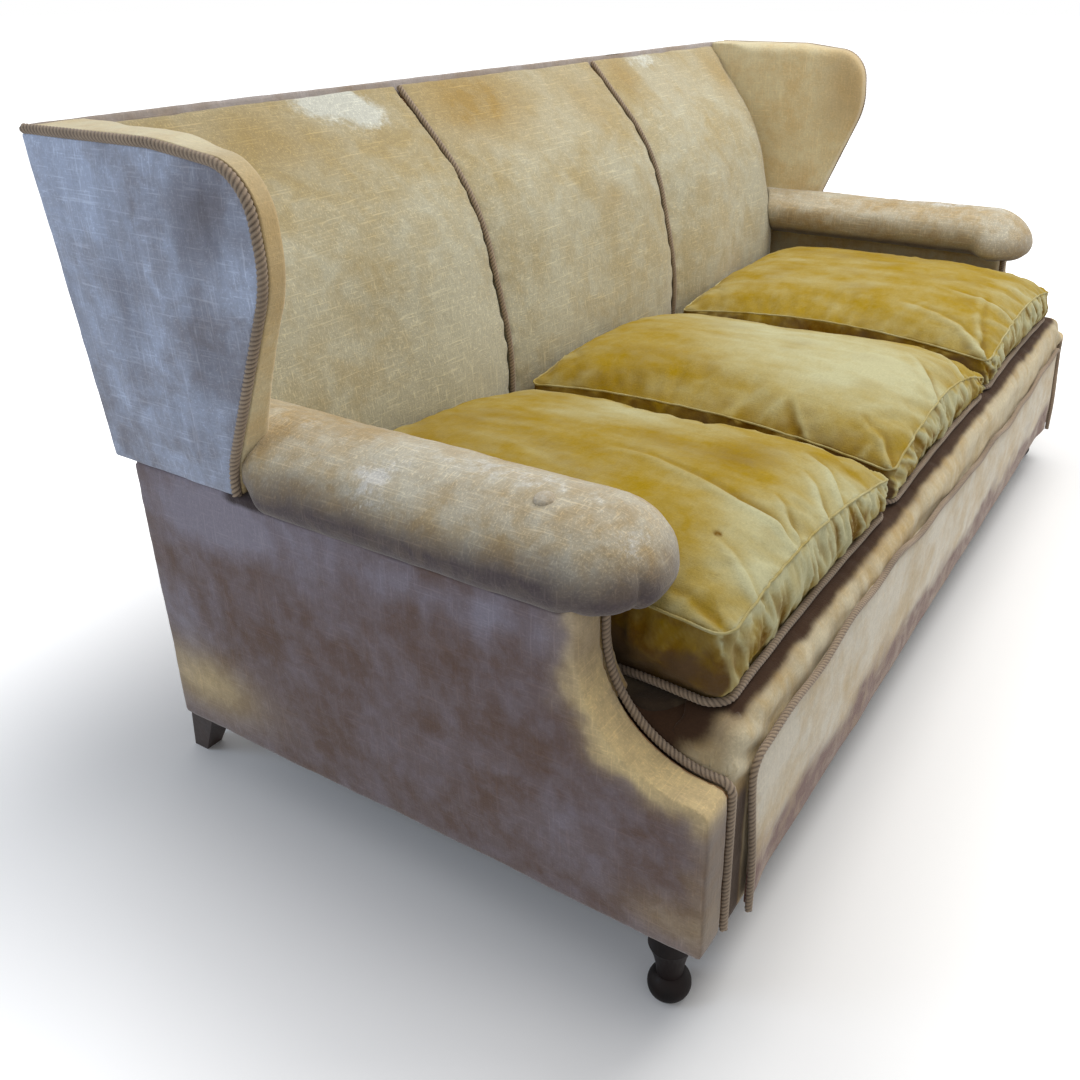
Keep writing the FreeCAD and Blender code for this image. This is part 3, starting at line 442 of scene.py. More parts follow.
def velvet(name, pile, worn, shade, size=0.12, offset=(0, 0, 0), weave=0.35, worn_share=0.5, sheen=0.35,
           crumple=0.5, mark=None, ragged=0.35, fray=1.0):
    """Velvet whose pile colour wears to a paler one in patches.

    Three layers are painted on the mesh: worn bares more of the ground, shade lays a third colour on the
    pile and mark a fourth. ragged and fray say how far the nap breaks the edges of shade and mark."""
    material, tree, shader = new_material(name)
    place = wired(tree, "ShaderNodeTexCoord").outputs["Object"]
    patches = wired(tree, "ShaderNodeGroup", node_tree=nap)
    ground = wired(tree, "ShaderNodeGroup", node_tree=threads)
    tree.links.new(place, patches.inputs["Vector"])
    tree.links.new(place, ground.inputs["Vector"])
    patches.inputs["Offset"].default_value = offset
    patches.inputs["Size"].default_value = size
    painted_worn = wired(tree, "ShaderNodeAttribute", attribute_name="worn").outputs["Fac"]
    painted_shade = wired(tree, "ShaderNodeAttribute", attribute_name="shade").outputs["Fac"]
    mixed = maths(tree, "MULTIPLY_ADD", patches.outputs["Broad"], 0.55,
                  maths(tree, "MULTIPLY", patches.outputs["Brushed"], 0.45))
    bare = maths(tree, "ADD", maths(tree, "MULTIPLY", mixed, worn_share * 2), painted_worn, clamp=True)
    coat = blended(tree, bare, pile, worn)
    broken = maths(tree, "MULTIPLY_ADD", patches.outputs["Brushed"], ragged, 1 - 0.7 * ragged)
    coat = blended(tree, maths(tree, "MULTIPLY", painted_shade, broken, clamp=True), coat, shade)
    if mark:
        painted_mark = wired(tree, "ShaderNodeAttribute", attribute_name="mark").outputs["Fac"]
        frayed = maths(tree, "MULTIPLY_ADD", patches.outputs["Fine"], 0.9 * fray,
                       maths(tree, "MULTIPLY_ADD", patches.outputs["Brushed"], 0.35 * fray, -0.62 * fray))
        coat = blended(tree, ramp(tree, maths(tree, "ADD", painted_mark, frayed), 0.28, 0.85), coat, mark)
    lined = maths(tree, "MULTIPLY", ground.outputs["Slubs"], weave)
    lighter = blended(tree, 1.0, coat, (1.32, 1.3, 1.25, 1), "MULTIPLY")
    coat = blended(tree, lined, coat, lighter)
    grey = maths(tree, "MULTIPLY_ADD", ground.outputs["Height"], 0.5 * weave,
                 maths(tree, "MULTIPLY_ADD", patches.outputs["Fine"], 0.5, 0.75 - 0.27 * weave))
    tone = wired(tree, "ShaderNodeCombineColor", [(0, grey), (1, grey), (2, grey)])
    coat = blended(tree, 0.8, coat, tone.outputs[0], "MULTIPLY")
    tree.links.new(coat, shader.inputs["Base Color"])
    shader.inputs["Roughness"].default_value = 0.85
    shader.inputs["Specular IOR Level"].default_value = 0.15
    shader.inputs["Sheen Weight"].default_value = sheen
    shader.inputs["Sheen Roughness"].default_value = 0.45
    shader.inputs["Sheen Tint"].default_value = (1.0, 0.96, 0.88, 1)
    rough = maths(tree, "MULTIPLY_ADD", ground.outputs["Height"], 0.8,
                  maths(tree, "MULTIPLY", patches.outputs["Fine"], crumple))
    bump = wired(tree, "ShaderNodeBump", [("Height", rough), ("Strength", 0.6), ("Distance", 0.0016)])
    tree.links.new(bump.outputs[0], shader.inputs["Normal"])
    return material


def step(low, high, value):
    """0 at low, 1 at high, smooth between; low may be the larger."""
    share = min(1.0, max(0.0, (value - low) / (high - low)))
    return share * share * (3 - 2 * share)


def skin(name, rings):
    """Closed mesh over rings of equal count, with a fan over each end."""
    count = len(rings[0])
    points = [p for ring in rings for p in ring]
    faces = []
    for i in range(len(rings) - 1):
        for a in range(count):
            b = (a + 1) % count
            faces.append((i * count + a, i * count + b, (i + 1) * count + b, (i + 1) * count + a))
    for ring, first in ((rings[0], 0), (rings[-1], (len(rings) - 1) * count)):
        middle = len(points)
        points.append(sum((Vector(p) for p in ring), Vector()) / count)
        for a in range(count):
            b = (a + 1) % count
            faces.append((first + b, first + a, middle) if first == 0 else (first + a, first + b, middle))
    mesh = bpy.data.meshes.new(name)
    mesh.from_pydata([tuple(p) for p in points], [], faces)
    mesh.validate()
    return finished(name, mesh)


def finished(name, mesh):
    """Object of a mesh, its faces turned outward and smooth."""
    obj = bpy.data.objects.new(name, mesh)
    scene.collection.objects.link(obj)
    outward(mesh)
    smoothed(mesh)
    return obj


def outward(mesh):
    """Turns every face outward."""
    work = bmesh.new()
    work.from_mesh(mesh)
    bmesh.ops.remove_doubles(work, verts=work.verts, dist=0.00002)
    bmesh.ops.recalc_face_normals(work, faces=work.faces)
    work.to_mesh(mesh)
    work.free()
    mesh.update()


def paint(obj, name, rule):
    """A value for each point of the mesh, read by its material."""
    mesh = obj.data
    layer = mesh.attributes.get(name) or mesh.attributes.new(name, "FLOAT", "POINT")
    values = [min(1.0, max(0.0, rule(v.co, v.normal))) for v in mesh.vertices]
    layer.data.foreach_set("value", values)


def ruffle(obj, rule):
    """Moves every point of the mesh along its normal by rule(place, normal)."""
    mesh = obj.data
    moves = [v.normal * rule(v.co, v.normal) for v in mesh.vertices]
    for vertex, move in zip(mesh.vertices, moves):
        vertex.co += move
    mesh.update()


def rounded(corners, spacing, closed=True):
    """Points along an outline of (u, v) or (u, v, radius) corners."""
    count = len(corners)
    points = []

    def run(a, b):
        steps = max(1, round((b - a).length / spacing))
        for k in range(steps):
            points.append(a.lerp(b, k / steps))

    stops = []
    for i, corner in enumerate(corners):
        here = Vector((corner[0], corner[1]))
        radius = corner[2] if len(corner) > 2 else 0
        if radius == 0 or (not closed and i in (0, count - 1)):
            stops.append((here, here, None))
            continue
        before = Vector(corners[i - 1][:2])
        after = Vector(corners[(i + 1) % count][:2])
        way_in = (here - before).normalized()
        way_out = (after - here).normalized()
        angle = way_in.angle(way_out)
        reach = radius * math.tan(angle / 2)
        centre = here + (way_out - way_in).normalized() * (radius / math.cos(angle / 2))
        stops.append((here - way_in * reach, here + way_out * reach, (centre, radius, angle)))
    for i, (first, last, arc) in enumerate(stops):
        if arc:
            centre, radius, angle = arc
            steps = max(2, round(radius * angle / spacing))
            a = first - centre
            turned = math.copysign(angle, a.x * (last - centre).y - a.y * (last - centre).x)
            for k in range(steps):
                t = turned * k / steps
                points.append(centre + Vector((a.x * math.cos(t) - a.y * math.sin(t),
                                               a.x * math.sin(t) + a.y * math.cos(t))))
        if closed or i < count - 1:
            run(last, stops[(i + 1) % count][0])
    if not closed:
        points.append(stops[-1][1])
    return points


def finder(points):
    """Tree that finds the nearest of some points in plan."""
    tree = KDTree(len(points))
    for i, p in enumerate(points):
        tree.insert((p.x, p.y, 0), i)
    tree.balance()
    return tree


def pad_on(name, points, place, thickness, edge, puff, reach, centre=None, spacing=0.008):
    """Upholstered panel over a closed outline. place(u, v, w) gives the point at height w over its back.

    The face swells by puff towards the middle, nearly full at reach from the edge, and the edge turns down
    over a radius edge."""
    count = len(points)
    if centre is None:
        centre = sum(points, Vector((0, 0))) / count
    sides = []
    for i in range(count):
        along = (points[(i + 1) % count] - points[i - 1]).normalized()
        sides.append(Vector((along.y, -along.x)))
    area = sum(points[i].x * points[(i + 1) % count].y - points[(i + 1) % count].x * points[i].y
               for i in range(count))
    if area < 0:
        sides = [-s for s in sides]
    edges = [edge(p) if callable(edge) else edge for p in points]
    inner = [p - s * e for p, s, e in zip(points, sides, edges)]
    rim = finder(inner)
    widest = max((p - centre).length for p in inner)
    steps = max(6, round(widest / spacing))
    rings = []
    for k in range(steps):
        t = (k + 0.15) / steps
        ring = []
        for p in inner:
            here = centre + (p - centre) * t
            gap = rim.find((here.x, here.y, 0))[2]
            ring.append(place(here.x, here.y, thickness + puff * (1 - math.exp(-gap / reach))))
        rings.append(ring)
    turns = 5
    for k in range(turns + 1):
        a = math.pi / 2 * k / turns
        rings.append([place(*(p + s * e * math.sin(a)), thickness - e * (1 - math.cos(a)))
                      for p, s, e in zip(inner, sides, edges)])
    down = max(2, round((thickness - min(edges)) / spacing))
    for k in range(1, down + 1):
        rings.append([place(p.x, p.y, (thickness - e) * (1 - k / down)) for p, e in zip(points, edges)])
    rings.append([place(*(p - s * 0.003), 0) for p, s in zip(points, sides)])
    return skin(name, rings)


def upholster(piece, material, slot, fill, *replaced):
    """Gives a stuffed piece its cloth and hides the nodes that it stands for."""
    piece.data.materials.append(material)
    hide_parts(*replaced)
    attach(piece, "sofa")


deck = pad_on("deck_pad", rounded([(-0.889, -0.4010, 0.08), (0.889, -0.4010, 0.08), (0.889, 0.3375, 0.02),
                                   (-0.889, 0.3375, 0.02)], 0.012),
              lambda u, v, w: Vector((u, v, 0.3486 + w)), 0.0266, 0.009, 0.0012, 0.06, spacing=0.014)
ruffle(deck, lambda p, n: 0.0008 * fbm(p, 0.12, 3.0) - 0.0006)
paint(deck, "shade", lambda p, n: 0.25 * fbm(p, (0.3, 0.2, 0.1), 8.0) + step(-0.27, -0.34, p.y))
upholster(deck, velvet("deck_cloth", colour(150, 128, 92), colour(178, 158, 122), colour(58, 46, 35),
                       size=0.2, weave=0.6, ragged=0.15), "canvas", 0.5, "seat_deck")


# Arms, outside: velvet stretched over the arm frame and tacked below, turned round the scooped front edge
# as far as the cord. It is faded to lilac and keeps its gold in the shelter of that edge; painted shade
# darkens the crease under the roll and the lower part of the front edge.
def spot(place, centre, size):
    """1 at the centre, fading to 0 at about that size; size may differ along each axis."""
    if not hasattr(size, "__len__"):
        size = (size, size, size)
    reach = sum(((place[i] - centre[i]) / size[i]) ** 2 for i in range(3))
    return math.exp(-1.6 * reach)


def eased(obj, voxel, smooth):
    """The object remeshed evenly, with its edges eased."""
    remesh = obj.modifiers.new("remesh", "REMESH")
    remesh.mode = "VOXEL"
    remesh.voxel_size = voxel
    ease = obj.modifiers.new("ease", "SMOOTH")
    ease.factor = 0.5
    ease.iterations = smooth
    return baked(obj)


def baked(obj):
    """The object's modifiers applied to its mesh."""
    bpy.context.view_layer.update()
    shaped = obj.evaluated_get(bpy.context.evaluated_depsgraph_get())
    mesh = bpy.data.meshes.new_from_object(shaped)
    obj.modifiers.clear()
    obj.data = mesh
    smoothed(mesh)
    mesh.update()
    return obj


def both_ends(build):
    """Builds a piece at the left end (-1) and at the right end (1)."""
    for side, name in ((-1, "left"), (1, "right")):
        build(side, name)


lilac_velvet = velvet("outside_arm_velvet", colour(104, 82, 72), colour(142, 136, 148), colour(222, 198, 146),
                      size=0.10, offset=(3.1, 0.4, 1.7), weave=0.5, worn_share=0.25,
                      mark=colour(60, 50, 52), ragged=0.25, fray=0.3)
arm_outline = [(-0.4617, 0.108, 0.006), (0.391, 0.108, 0.004), (0.391, 0.5165, 0.004),
               (-0.3037, 0.5165, 0.010), (-0.3037, 0.32, 0.14), (-0.4617, 0.32, 0.014)]


def outside_arm(side, name):
    """Cover of an outer arm with its facing, in one piece."""
    points = rounded(arm_outline, 0.006)
    rim = finder(points)
    strip_line = finder([p for p in points if p.x < -0.303 and p.y > 0.13])
    count = len(points)
    mesh = bpy.data.meshes.new(name + "_outside_arm_cover")
    mesh.from_pydata([(side * x, p.x, p.y) for x in (0.9030, 0.9505) for p in points], [],
                     [tuple(range(count)), tuple(range(2 * count - 1, count - 1, -1))]
                     + [(i, (i + 1) % count, count + (i + 1) % count, count + i) for i in range(count)])
    face = eased(finished(name + "_outside_arm_cover", mesh), 0.005, 3)

    def swell(p, n):
        gap = rim.find((p.y, p.z, 0))[2]
        puff = 0.006 * (1 - math.exp(-gap / 0.06)) * step(0.3, 0.8, side * n.x)
        return 0.0008 + puff + 0.0018 * fbm(p, (0.2, 0.16, 0.1), 1.0) + 0.0005 * fbm(p, 0.03, 4.0)

    ruffle(face, swell)

    def shade(p, n):
        gap = strip_line.find((p.y, p.z, 0))[2] + 0.016 * fbm(p, 0.06, 7.0)
        gold = 0.30 * step(0.055, 0.0, gap) + 0.70 * step(0.030, 0.008, gap)
        gold *= 0.15 + 0.85 * step(0.27, 0.33, p.z)
        gold *= 1 - 0.45 * step(0.40, 0.46, p.z)
        return (gold + 0.7 * spot(p, (side * 0.95, 0.33, 0.19), (1, 0.13, 0.06))
                + 0.25 * spot(p, (side * 0.95, -0.42, 0.15), (1, 0.06, 0.04)))

    # mark is painted shade: a dark line along the crease under the roll's overhang, and a darker lower front
    # edge
    def mark(p, n):
        shadow_under_roll = step(0.498, 0.506, p.z) * step(0.24, 0.20, p.y) * step(-0.300, -0.280, p.y)
        return 0.8 * shadow_under_roll + 0.50 * step(-0.4, -0.8, n.y) * step(0.34, 0.29, p.z)

    paint(face, "shade", shade)
    paint(face, "mark", mark)
    paint(face, "worn", lambda p, n: 0.35 * fbm(p, (0.1, 0.05, 0.09), 9.0)
          + 0.9 * spot(p, (side * 0.95, 0.22, 0.47), (1, 0.16, 0.06))
          + 0.5 * spot(p, (side * 0.95, 0.33, 0.30), (1, 0.08, 0.12))
          + 0.45 * spot(p, (side * 0.95, -0.12, 0.47), (1, 0.16, 0.03))
          + 0.25 * spot(p, (side * 0.95, -0.25, 0.22), (1, 0.1, 0.1)) + 0.35 * step(0.38, 0.50, p.z)
          + 0.25 * spot(p, (side * 0.95, -0.30, 0.16), (1, 0.12, 0.05)) - 0.16)
    upholster(face, lilac_velvet, "mauve_velvet", 0.2, name + "_outside_arm", name + "_arm_facing")


both_ends(outside_arm)


# Arm cords: braided cord, three strands laid round each other, rubbed paler on top of each strand and with
# painted shade in the grooves between them. It is sewn on from the base up the front, along the ledge and up
# the scoop to the roll.
def cord_material(name, dark, pale):
    """Braid that is pale on top of each strand and dark between them, with painted shade in the grooves."""
    material, tree, shader = new_material(name)
    place = wired(tree, "ShaderNodeTexCoord").outputs["Object"]
    strand = wired(tree, "ShaderNodeAttribute", attribute_name="strand").outputs["Fac"]
    fuzz = wired(tree, "ShaderNodeTexNoise", [("Vector", place), ("Scale", 900.0), ("Detail", 3.0)])
    dirt = wired(tree, "ShaderNodeTexNoise", [("Vector", place), ("Scale", 9.0), ("Detail", 3.0)])
    value = maths(tree, "MULTIPLY_ADD", fuzz.outputs["Fac"], 0.45,
                  maths(tree, "MULTIPLY", strand, maths(tree, "ADD", dirt.outputs["Fac"], 0.25)), clamp=True)
    tree.links.new(blended(tree, value, dark, pale), shader.inputs["Base Color"])
    shader.inputs["Roughness"].default_value = 0.9
    shader.inputs["Specular IOR Level"].default_value = 0.15
    shader.inputs["Sheen Weight"].default_value = 0.2
    bump = wired(tree, "ShaderNodeBump", [("Height", fuzz.outputs["Fac"]), ("Strength", 0.5),
                                          ("Distance", 0.001)])
    tree.links.new(bump.outputs[0], shader.inputs["Normal"])
    return material


taupe_cord = cord_material("taupe_cord", colour(44, 36, 34), colour(176, 156, 134))


def braid(name, line, diameter, closed=False, pitch=0.017, strands=3, sides=12, spacing=0.0016):
    """Cord along a line of points, its strands twisted once in each pitch."""
    points = [Vector(p) for p in line]
    if closed:
        points.append(points[0])
    lengths = [0.0]
    for a, b in zip(points, points[1:]):
        lengths.append(lengths[-1] + (b - a).length)
    count = max(8, round(lengths[-1] / spacing))
    samples = []
    k = 0
    for i in range(count if closed else count + 1):
        want = lengths[-1] * i / count
        while k < len(lengths) - 2 and lengths[k + 1] < want:
            k += 1
        span = lengths[k + 1] - lengths[k]
        samples.append(points[k].lerp(points[k + 1], (want - lengths[k]) / span if span else 0))
    turns = round(lengths[-1] / pitch) if closed else lengths[-1] / pitch
    total = len(samples)
    rings = []
    tops = []
    side = None
    for i, here in enumerate(samples):
        ahead = samples[(i + 1) % total] if closed else samples[min(i + 1, total - 1)]
        behind = samples[i - 1] if closed or i else samples[0]
        along = (ahead - behind).normalized()
        if side is None:
            side = along.orthogonal().normalized()
        side = (side - along * side.dot(along)).normalized()
        other = along.cross(side)
        twist = 2 * math.pi * turns * i / total
        ring = []
        for a in range(sides):
            angle = 2 * math.pi * a / sides
            lobe = abs(math.cos(strands / 2 * (angle - twist)))
            radius = diameter / 2 * (0.72 + 0.28 * lobe ** 0.6)
            ring.append(here + (side * math.cos(angle) + other * math.sin(angle)) * radius)
            tops.append(lobe)
        rings.append(ring)
    faces = []
    for i in range(total if closed else total - 1):
        j = (i + 1) % total
        for a in range(sides):
            b = (a + 1) % sides
            faces.append((i * sides + a, i * sides + b, j * sides + b, j * sides + a))
    if not closed:
        faces.append(tuple(range(sides - 1, -1, -1)))
        faces.append(tuple(range((total - 1) * sides, total * sides)))
    mesh = bpy.data.meshes.new(name)
    mesh.from_pydata([tuple(p) for ring in rings for p in ring], [], faces)
    layer = mesh.attributes.new("strand", "FLOAT", "POINT")
    layer.data.foreach_set("value", tops)
    mesh.materials.append(taupe_cord)
    obj = bpy.data.objects.new(name, mesh)
    scene.collection.objects.link(obj)
    smoothed(mesh)
    mesh.update()
    return obj


def arm_cord(side, name):
    line = rounded([(-0.4630, 0.108), (-0.4630, 0.3213, 0.0152), (-0.3050, 0.3213, 0.1388), (-0.3050, 0.499)],
                   0.002, closed=False)
    piece = braid(name + "_arm_braid", [(side * 0.8957, p.x, p.y) for p in line], 0.0105)
    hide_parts(name + "_arm_cord")
    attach(piece, "sofa")


both_ends(arm_cord)

# Arms, inside: a padded cheek in gold velvet between the seat and the roll, which tucks in behind the
# cushions.
gold_velvet = velvet("inside_arm_velvet", colour(196, 164, 108), colour(206, 192, 158), colour(160, 122, 62),
                     size=0.13, offset=(0.4, 2.2, 5.1), weave=0.3, worn_share=0.5)


def soft_copy(name, node, voxel, smooth):
    """Remeshed copy of a node's solid with its edges eased."""
    obj = bpy.data.objects.new(name, nodes[node].data.copy())
    scene.collection.objects.link(obj)
    obj.data.materials.clear()
    return eased(obj, voxel, smooth)


def inside_arm(side, name):
    piece = soft_copy(name + "_inside_arm_pad", name + "_inside_arm", 0.005, 8)
    ruffle(piece, lambda p, n: 0.0015 * fbm(p, (0.1, 0.12, 0.06), 2.0))
    paint(piece, "worn", lambda p, n: 0.2)
    # painted shade: darker low down, in the gap beside the cushions
    paint(piece, "shade", lambda p, n: 0.5 * step(0.42, 0.38, p.z))
    upholster(piece, gold_velvet, "golden_velvet", 0.5, name + "_inside_arm")


both_ends(inside_arm)

# Arm rolls: horsehair stuffing in a velvet cover that is pleated in under the round nose. It is worn bare
# on top, and painted shade darkens it below.
roll_velvet = velvet("arm_roll_velvet", colour(172, 149, 108), colour(194, 188, 170), colour(90, 80, 81),
                     size=0.11, offset=(1.7, 0.2, 3.3), weave=0.9, worn_share=0.5, mark=colour(206, 204, 198),
                     ragged=0.12)


def arm_roll(side, name):
    piece = soft_copy(name + "_arm_roll", name + "_arm_pad", 0.005, 5)
    middle, nose_y, axis_z = 0.870, -0.272, 0.5515

    def turn(p):
        """Place round the roll's section in degrees: 90 on top, 0 where it is widest, -90 below."""
        out = math.hypot(abs(p.x) - middle, min(0.0, p.y - nose_y))
        return math.degrees(math.atan2((p.z - axis_z) / 0.0515, out / 0.080))

    def folds(p, n):
        move = 0.002 * fbm(p, (0.06, 0.14, 0.05), 3.0 + side) + 0.0006 * fbm(p, 0.02, 8.0)
        front = step(nose_y + 0.03, nose_y - 0.01, p.y)
        outer = max(front, step(-0.01, 0.03, abs(p.x) - middle)) * step(0.19, 0.14, p.y)
        # the roll hangs full over the top of the outer arm
        move += 0.025 * outer * math.exp(-((turn(p) + 30) / 30) ** 2)
        move -= 0.003 * step(-0.20, -0.05, p.y) * step(0.57, 0.6, p.z)
        # pleats gather the cover in under the nose, the deepest a dart on its outer side
        around = math.atan2(side * p.x - middle, nose_y - p.y)
        pleat = abs(math.sin(around * 4.5 + 0.6)) ** 0.5
        move -= front * step(0.545, 0.505, p.z) * 0.006 * (1 - pleat)
        dart = math.exp(-((around - 0.45) / 0.05) ** 2) * front * step(0.565, 0.535, p.z)
        return move - 0.006 * dart

    ruffle(piece, folds)

    # painted shade: darker below the roll's widest line, most on the outer side of the near roll, and
    # underneath
    def shade(p, n):
        place = turn(p) + 10 * fbm(p, (0.08, 0.10, 0.08), 5.0)
        front = step(nose_y + 0.03, nose_y - 0.03, p.y)
        outer = max(0.75 * front, step(-0.02, 0.02, abs(p.x) - middle) * (1 - 0.15 * front))
        low = step(30, -34, place)
        return (low * outer + 0.2 * low if side < 0 else 0.4 * low) + 0.6 * step(-30, -50, turn(p))

    def mark(p, n):
        return (0.85 * spot(p, (side * 0.93, -0.02, 0.585), (0.035, 0.04, 0.05))
                + 0.35 * spot(p, (side * 0.90, -0.335, 0.575), (0.05, 0.03, 0.03))
                + 0.35 * spot(p, (side * 0.87, -0.17, 0.60), (0.03, 0.10, 0.05))
                + 0.22 * step(55, 85, turn(p)) + 0.15 * fbm(p, (0.03, 0.06, 0.03), 6.0))

    paint(piece, "shade", shade)
    paint(piece, "mark", mark)
    paint(piece, "worn", lambda p, n: 0.22 * step(0.585, 0.603, p.z)
          + 0.5 * spot(p, (side * 0.93, -0.02, 0.60), (0.05, 0.08, 0.05)) - 0.12)
    upholster(piece, roll_velvet, "pale_velvet", 0.8, name + "_arm_pad")


both_ends(arm_roll)

# Button on the left roll: a domed metal button covered in the same velvet and pulled down into it by its
# thread.
button_seat = Vector((-0.896, -0.229, 0.5990))
button_up = Vector((-0.20, 0.0, 0.98)).normalized()
button_side = Vector((button_up.z, 0, -button_up.x))
button_rings = []
for radius, rise in ((0.0005, 0.0050), (0.004, 0.0047), (0.008, 0.0038), (0.0108, 0.0022), (0.012, 0.0002),
                     (0.0117, -0.0028), (0.009, -0.0045)):
    button_rings.append([button_seat + button_up * rise + button_side * (radius * math.cos(a * math.pi / 16))
                         + Vector((0, radius * math.sin(a * math.pi / 16), 0)) for a in range(32)])
button = skin("arm_button_cover", button_rings)
button_velvet = velvet("button_velvet", colour(176, 158, 128), colour(200, 192, 176), colour(140, 120, 96),
                       size=0.02, weave=0.5)
button.data.materials.append(button_velvet)
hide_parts("arm_button")
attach(button, "sofa")

# Wings, outside: a flat panel, thinly padded and blind stitched on. Its cool pale bloom towards the top and
# back is partly faded pile and partly painted blue window light. A thick cord of the same braid edges it.
wing_velvet = velvet("outside_wing_velvet", colour(140, 140, 150), colour(180, 192, 216),
                     colour(100, 96, 102), size=0.15, offset=(5.3, 1.1, 0.6), weave=0.9, worn_share=0.5)
wing_outline = [(0.1966, 0.5174, 0.004), (0.4245, 0.5174, 0.004), (0.4712, 0.9244, 0.004),
                (0.241, 0.9244, 0.190), (0.1005, 0.9075, 0.060), (0.0918, 0.798, 0.140),
                (0.1966, 0.5525, 0.129)]
wing_middle = Vector((0.29, 0.72))


def outside_wing(side, name):
    points = rounded(wing_outline, 0.006)
    piece = pad_on(name + "_outside_wing_cover", points, lambda u, v, w: Vector((side * (0.9462 + w), u, v)),
                   0.0075, 0.003, 0.006, 0.05, centre=wing_middle)
    ruffle(piece, lambda p, n: 0.0016 * fbm(p, (0.2, 0.1, 0.16), 5.0) + 0.0006 * fbm(p, 0.03, 2.0))
    paint(piece, "shade", lambda p, n: 0.75 * spot(p, (side * 0.95, 0.17, 0.86), (1, 0.08, 0.07))
          + 0.35 * spot(p, (side * 0.95, 0.33, 0.74), (1, 0.04, 0.10))
          + 0.45 * spot(p, (side * 0.95, 0.19, 0.70), (1, 0.04, 0.12))
          + 0.3 * fbm(p, (0.1, 0.035, 0.16), 3.0))
    # the paler blue towards the top and back is partly faded pile and partly painted window light
    paint(piece, "worn", lambda p, n: 0.6 * step(0.22, 0.42, p.y) * step(0.62, 0.85, p.z) - 0.12)
    upholster(piece, wing_velvet, "mauve_velvet", 0.2, name + "_outside_wing")


both_ends(outside_wing)


def wing_cord(side, name):
    corners = [(0.1925, 0.517), (0.1925, 0.5505, 0.115), (0.087, 0.7965, 0.145), (0.097, 0.912, 0.066),
               (0.241, 0.929, 0.195), (0.4665, 0.929)]
    line = rounded(corners, 0.002, closed=False)
    piece = braid(name + "_wing_braid", [(side * 0.9513, p.x, p.y) for p in line], 0.0125, pitch=0.019)
    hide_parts(name + "_wing_cord")
    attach(piece, "sofa")


both_ends(wing_cord)

# Wings, inside: a stuffed pad that thins towards the front. Its velvet is pulled round the edge of the
# board and ends under the cord.
wing_pad_velvet = velvet("inside_wing_velvet", colour(210, 187, 140), colour(220, 209, 174),
                         colour(166, 132, 78), size=0.12, offset=(2.2, 4.1, 1.3), weave=0.35, worn_share=0.5)


def inside_wing(side, name):
    outline = [(0.187, 0.515, 0.005), (0.4165, 0.515, 0.005), (0.4655, 0.9335, 0.005), (0.240, 0.9335, 0.200),
               (0.092, 0.9157, 0.070), (0.082, 0.796, 0.150), (0.187, 0.550, 0.120)]
    points = rounded(outline, 0.006)
    full = 0.0735

    def place(u, v, w):
        thin = 0.043 * step(0.30, 0.09, u)
        return Vector((side * (0.9455 - w * (1 - thin / full)), u, v))

    def turn(p):
        return 0.004 + 0.020 * step(0.535, 0.60, p.y) * step(0.42, 0.34, p.x)

    piece = pad_on(name + "_inside_wing_pad", points, place, full, turn, 0.004, 0.05, centre=wing_middle)
    ruffle(piece, lambda p, n: 0.0018 * fbm(p, (0.1, 0.08, 0.12), 6.0))
    paint(piece, "shade", lambda p, n: 0.5 * step(0.22, 0.12, p.y) * step(0.7, 0.8, p.z)
          + 0.3 * step(0.6, 0.53, p.z))
    paint(piece, "worn", lambda p, n: 0.25 * step(0.85, 0.93, p.z))
    upholster(piece, wing_pad_velvet, "golden_velvet", 0.6, name + "_inside_wing")


both_ends(inside_wing)

# Back: three stuffed panels, drawn in by the seams between them and rolled over the top rail. The velvet is
# amber where the pile is left, and worn pale below and in a few patches.
back_velvet = velvet("back_velvet", colour(168, 151, 109), colour(184, 180, 158), colour(160, 133, 76),
                     size=0.22, offset=(0.9, 3.7, 2.4), weave=0.9, worn_share=0.5, mark=colour(200, 201, 190))


def back_panel(name, seed, pale, amber, bare=()):
    """Stuffed panel; pale, amber and bare are patches of centre, size and share."""
    piece = soft_copy(name.replace("back_panel", "back_pad"), name, 0.006, 6)
    lowest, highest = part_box(name)
    middle = (lowest.x + highest.x) / 2
    half = (highest.x - lowest.x) / 2

    def tufts(p, n):
        if n.y > 0.3 and p.y > 0.33 and p.z < 0.9:
            return 0
        across = abs(p.x - middle) / half
        move = 0.0022 * fbm(p, (0.13, 0.2, 0.22), seed) + 0.0006 * fbm(p, 0.03, seed + 4)
        # short pulls beside the cords
        pull = step(0.90, 0.99, across) * math.sin(p.z * 150 + 2 * fbm(p, 0.06, seed))
        return move + 0.0009 * pull

    ruffle(piece, tufts)

    def worn(p, n):
        value = 0.42 * step(0.84, 0.62, p.z + 0.05 * fbm(p, 0.2, seed + 1)) - 0.12
        for centre, size, share in pale:
            value += share * spot(p, centre, size) * (0.75 + 0.6 * fbm(p, 0.05, seed))
        return value

    def shade(p, n):
        value = 0.25 * step(0.80, 0.90, p.z + 0.04 * fbm(p, 0.12, seed + 2))
        for centre, size, share in amber:
            value += share * spot(p, centre, size)
        return value

    paint(piece, "worn", worn)
    paint(piece, "shade", shade)
    paint(piece, "mark", lambda p, n: sum(share * spot(p, centre, size) for centre, size, share in bare))
    upholster(piece, back_velvet, "pale_velvet", 0.7, name)


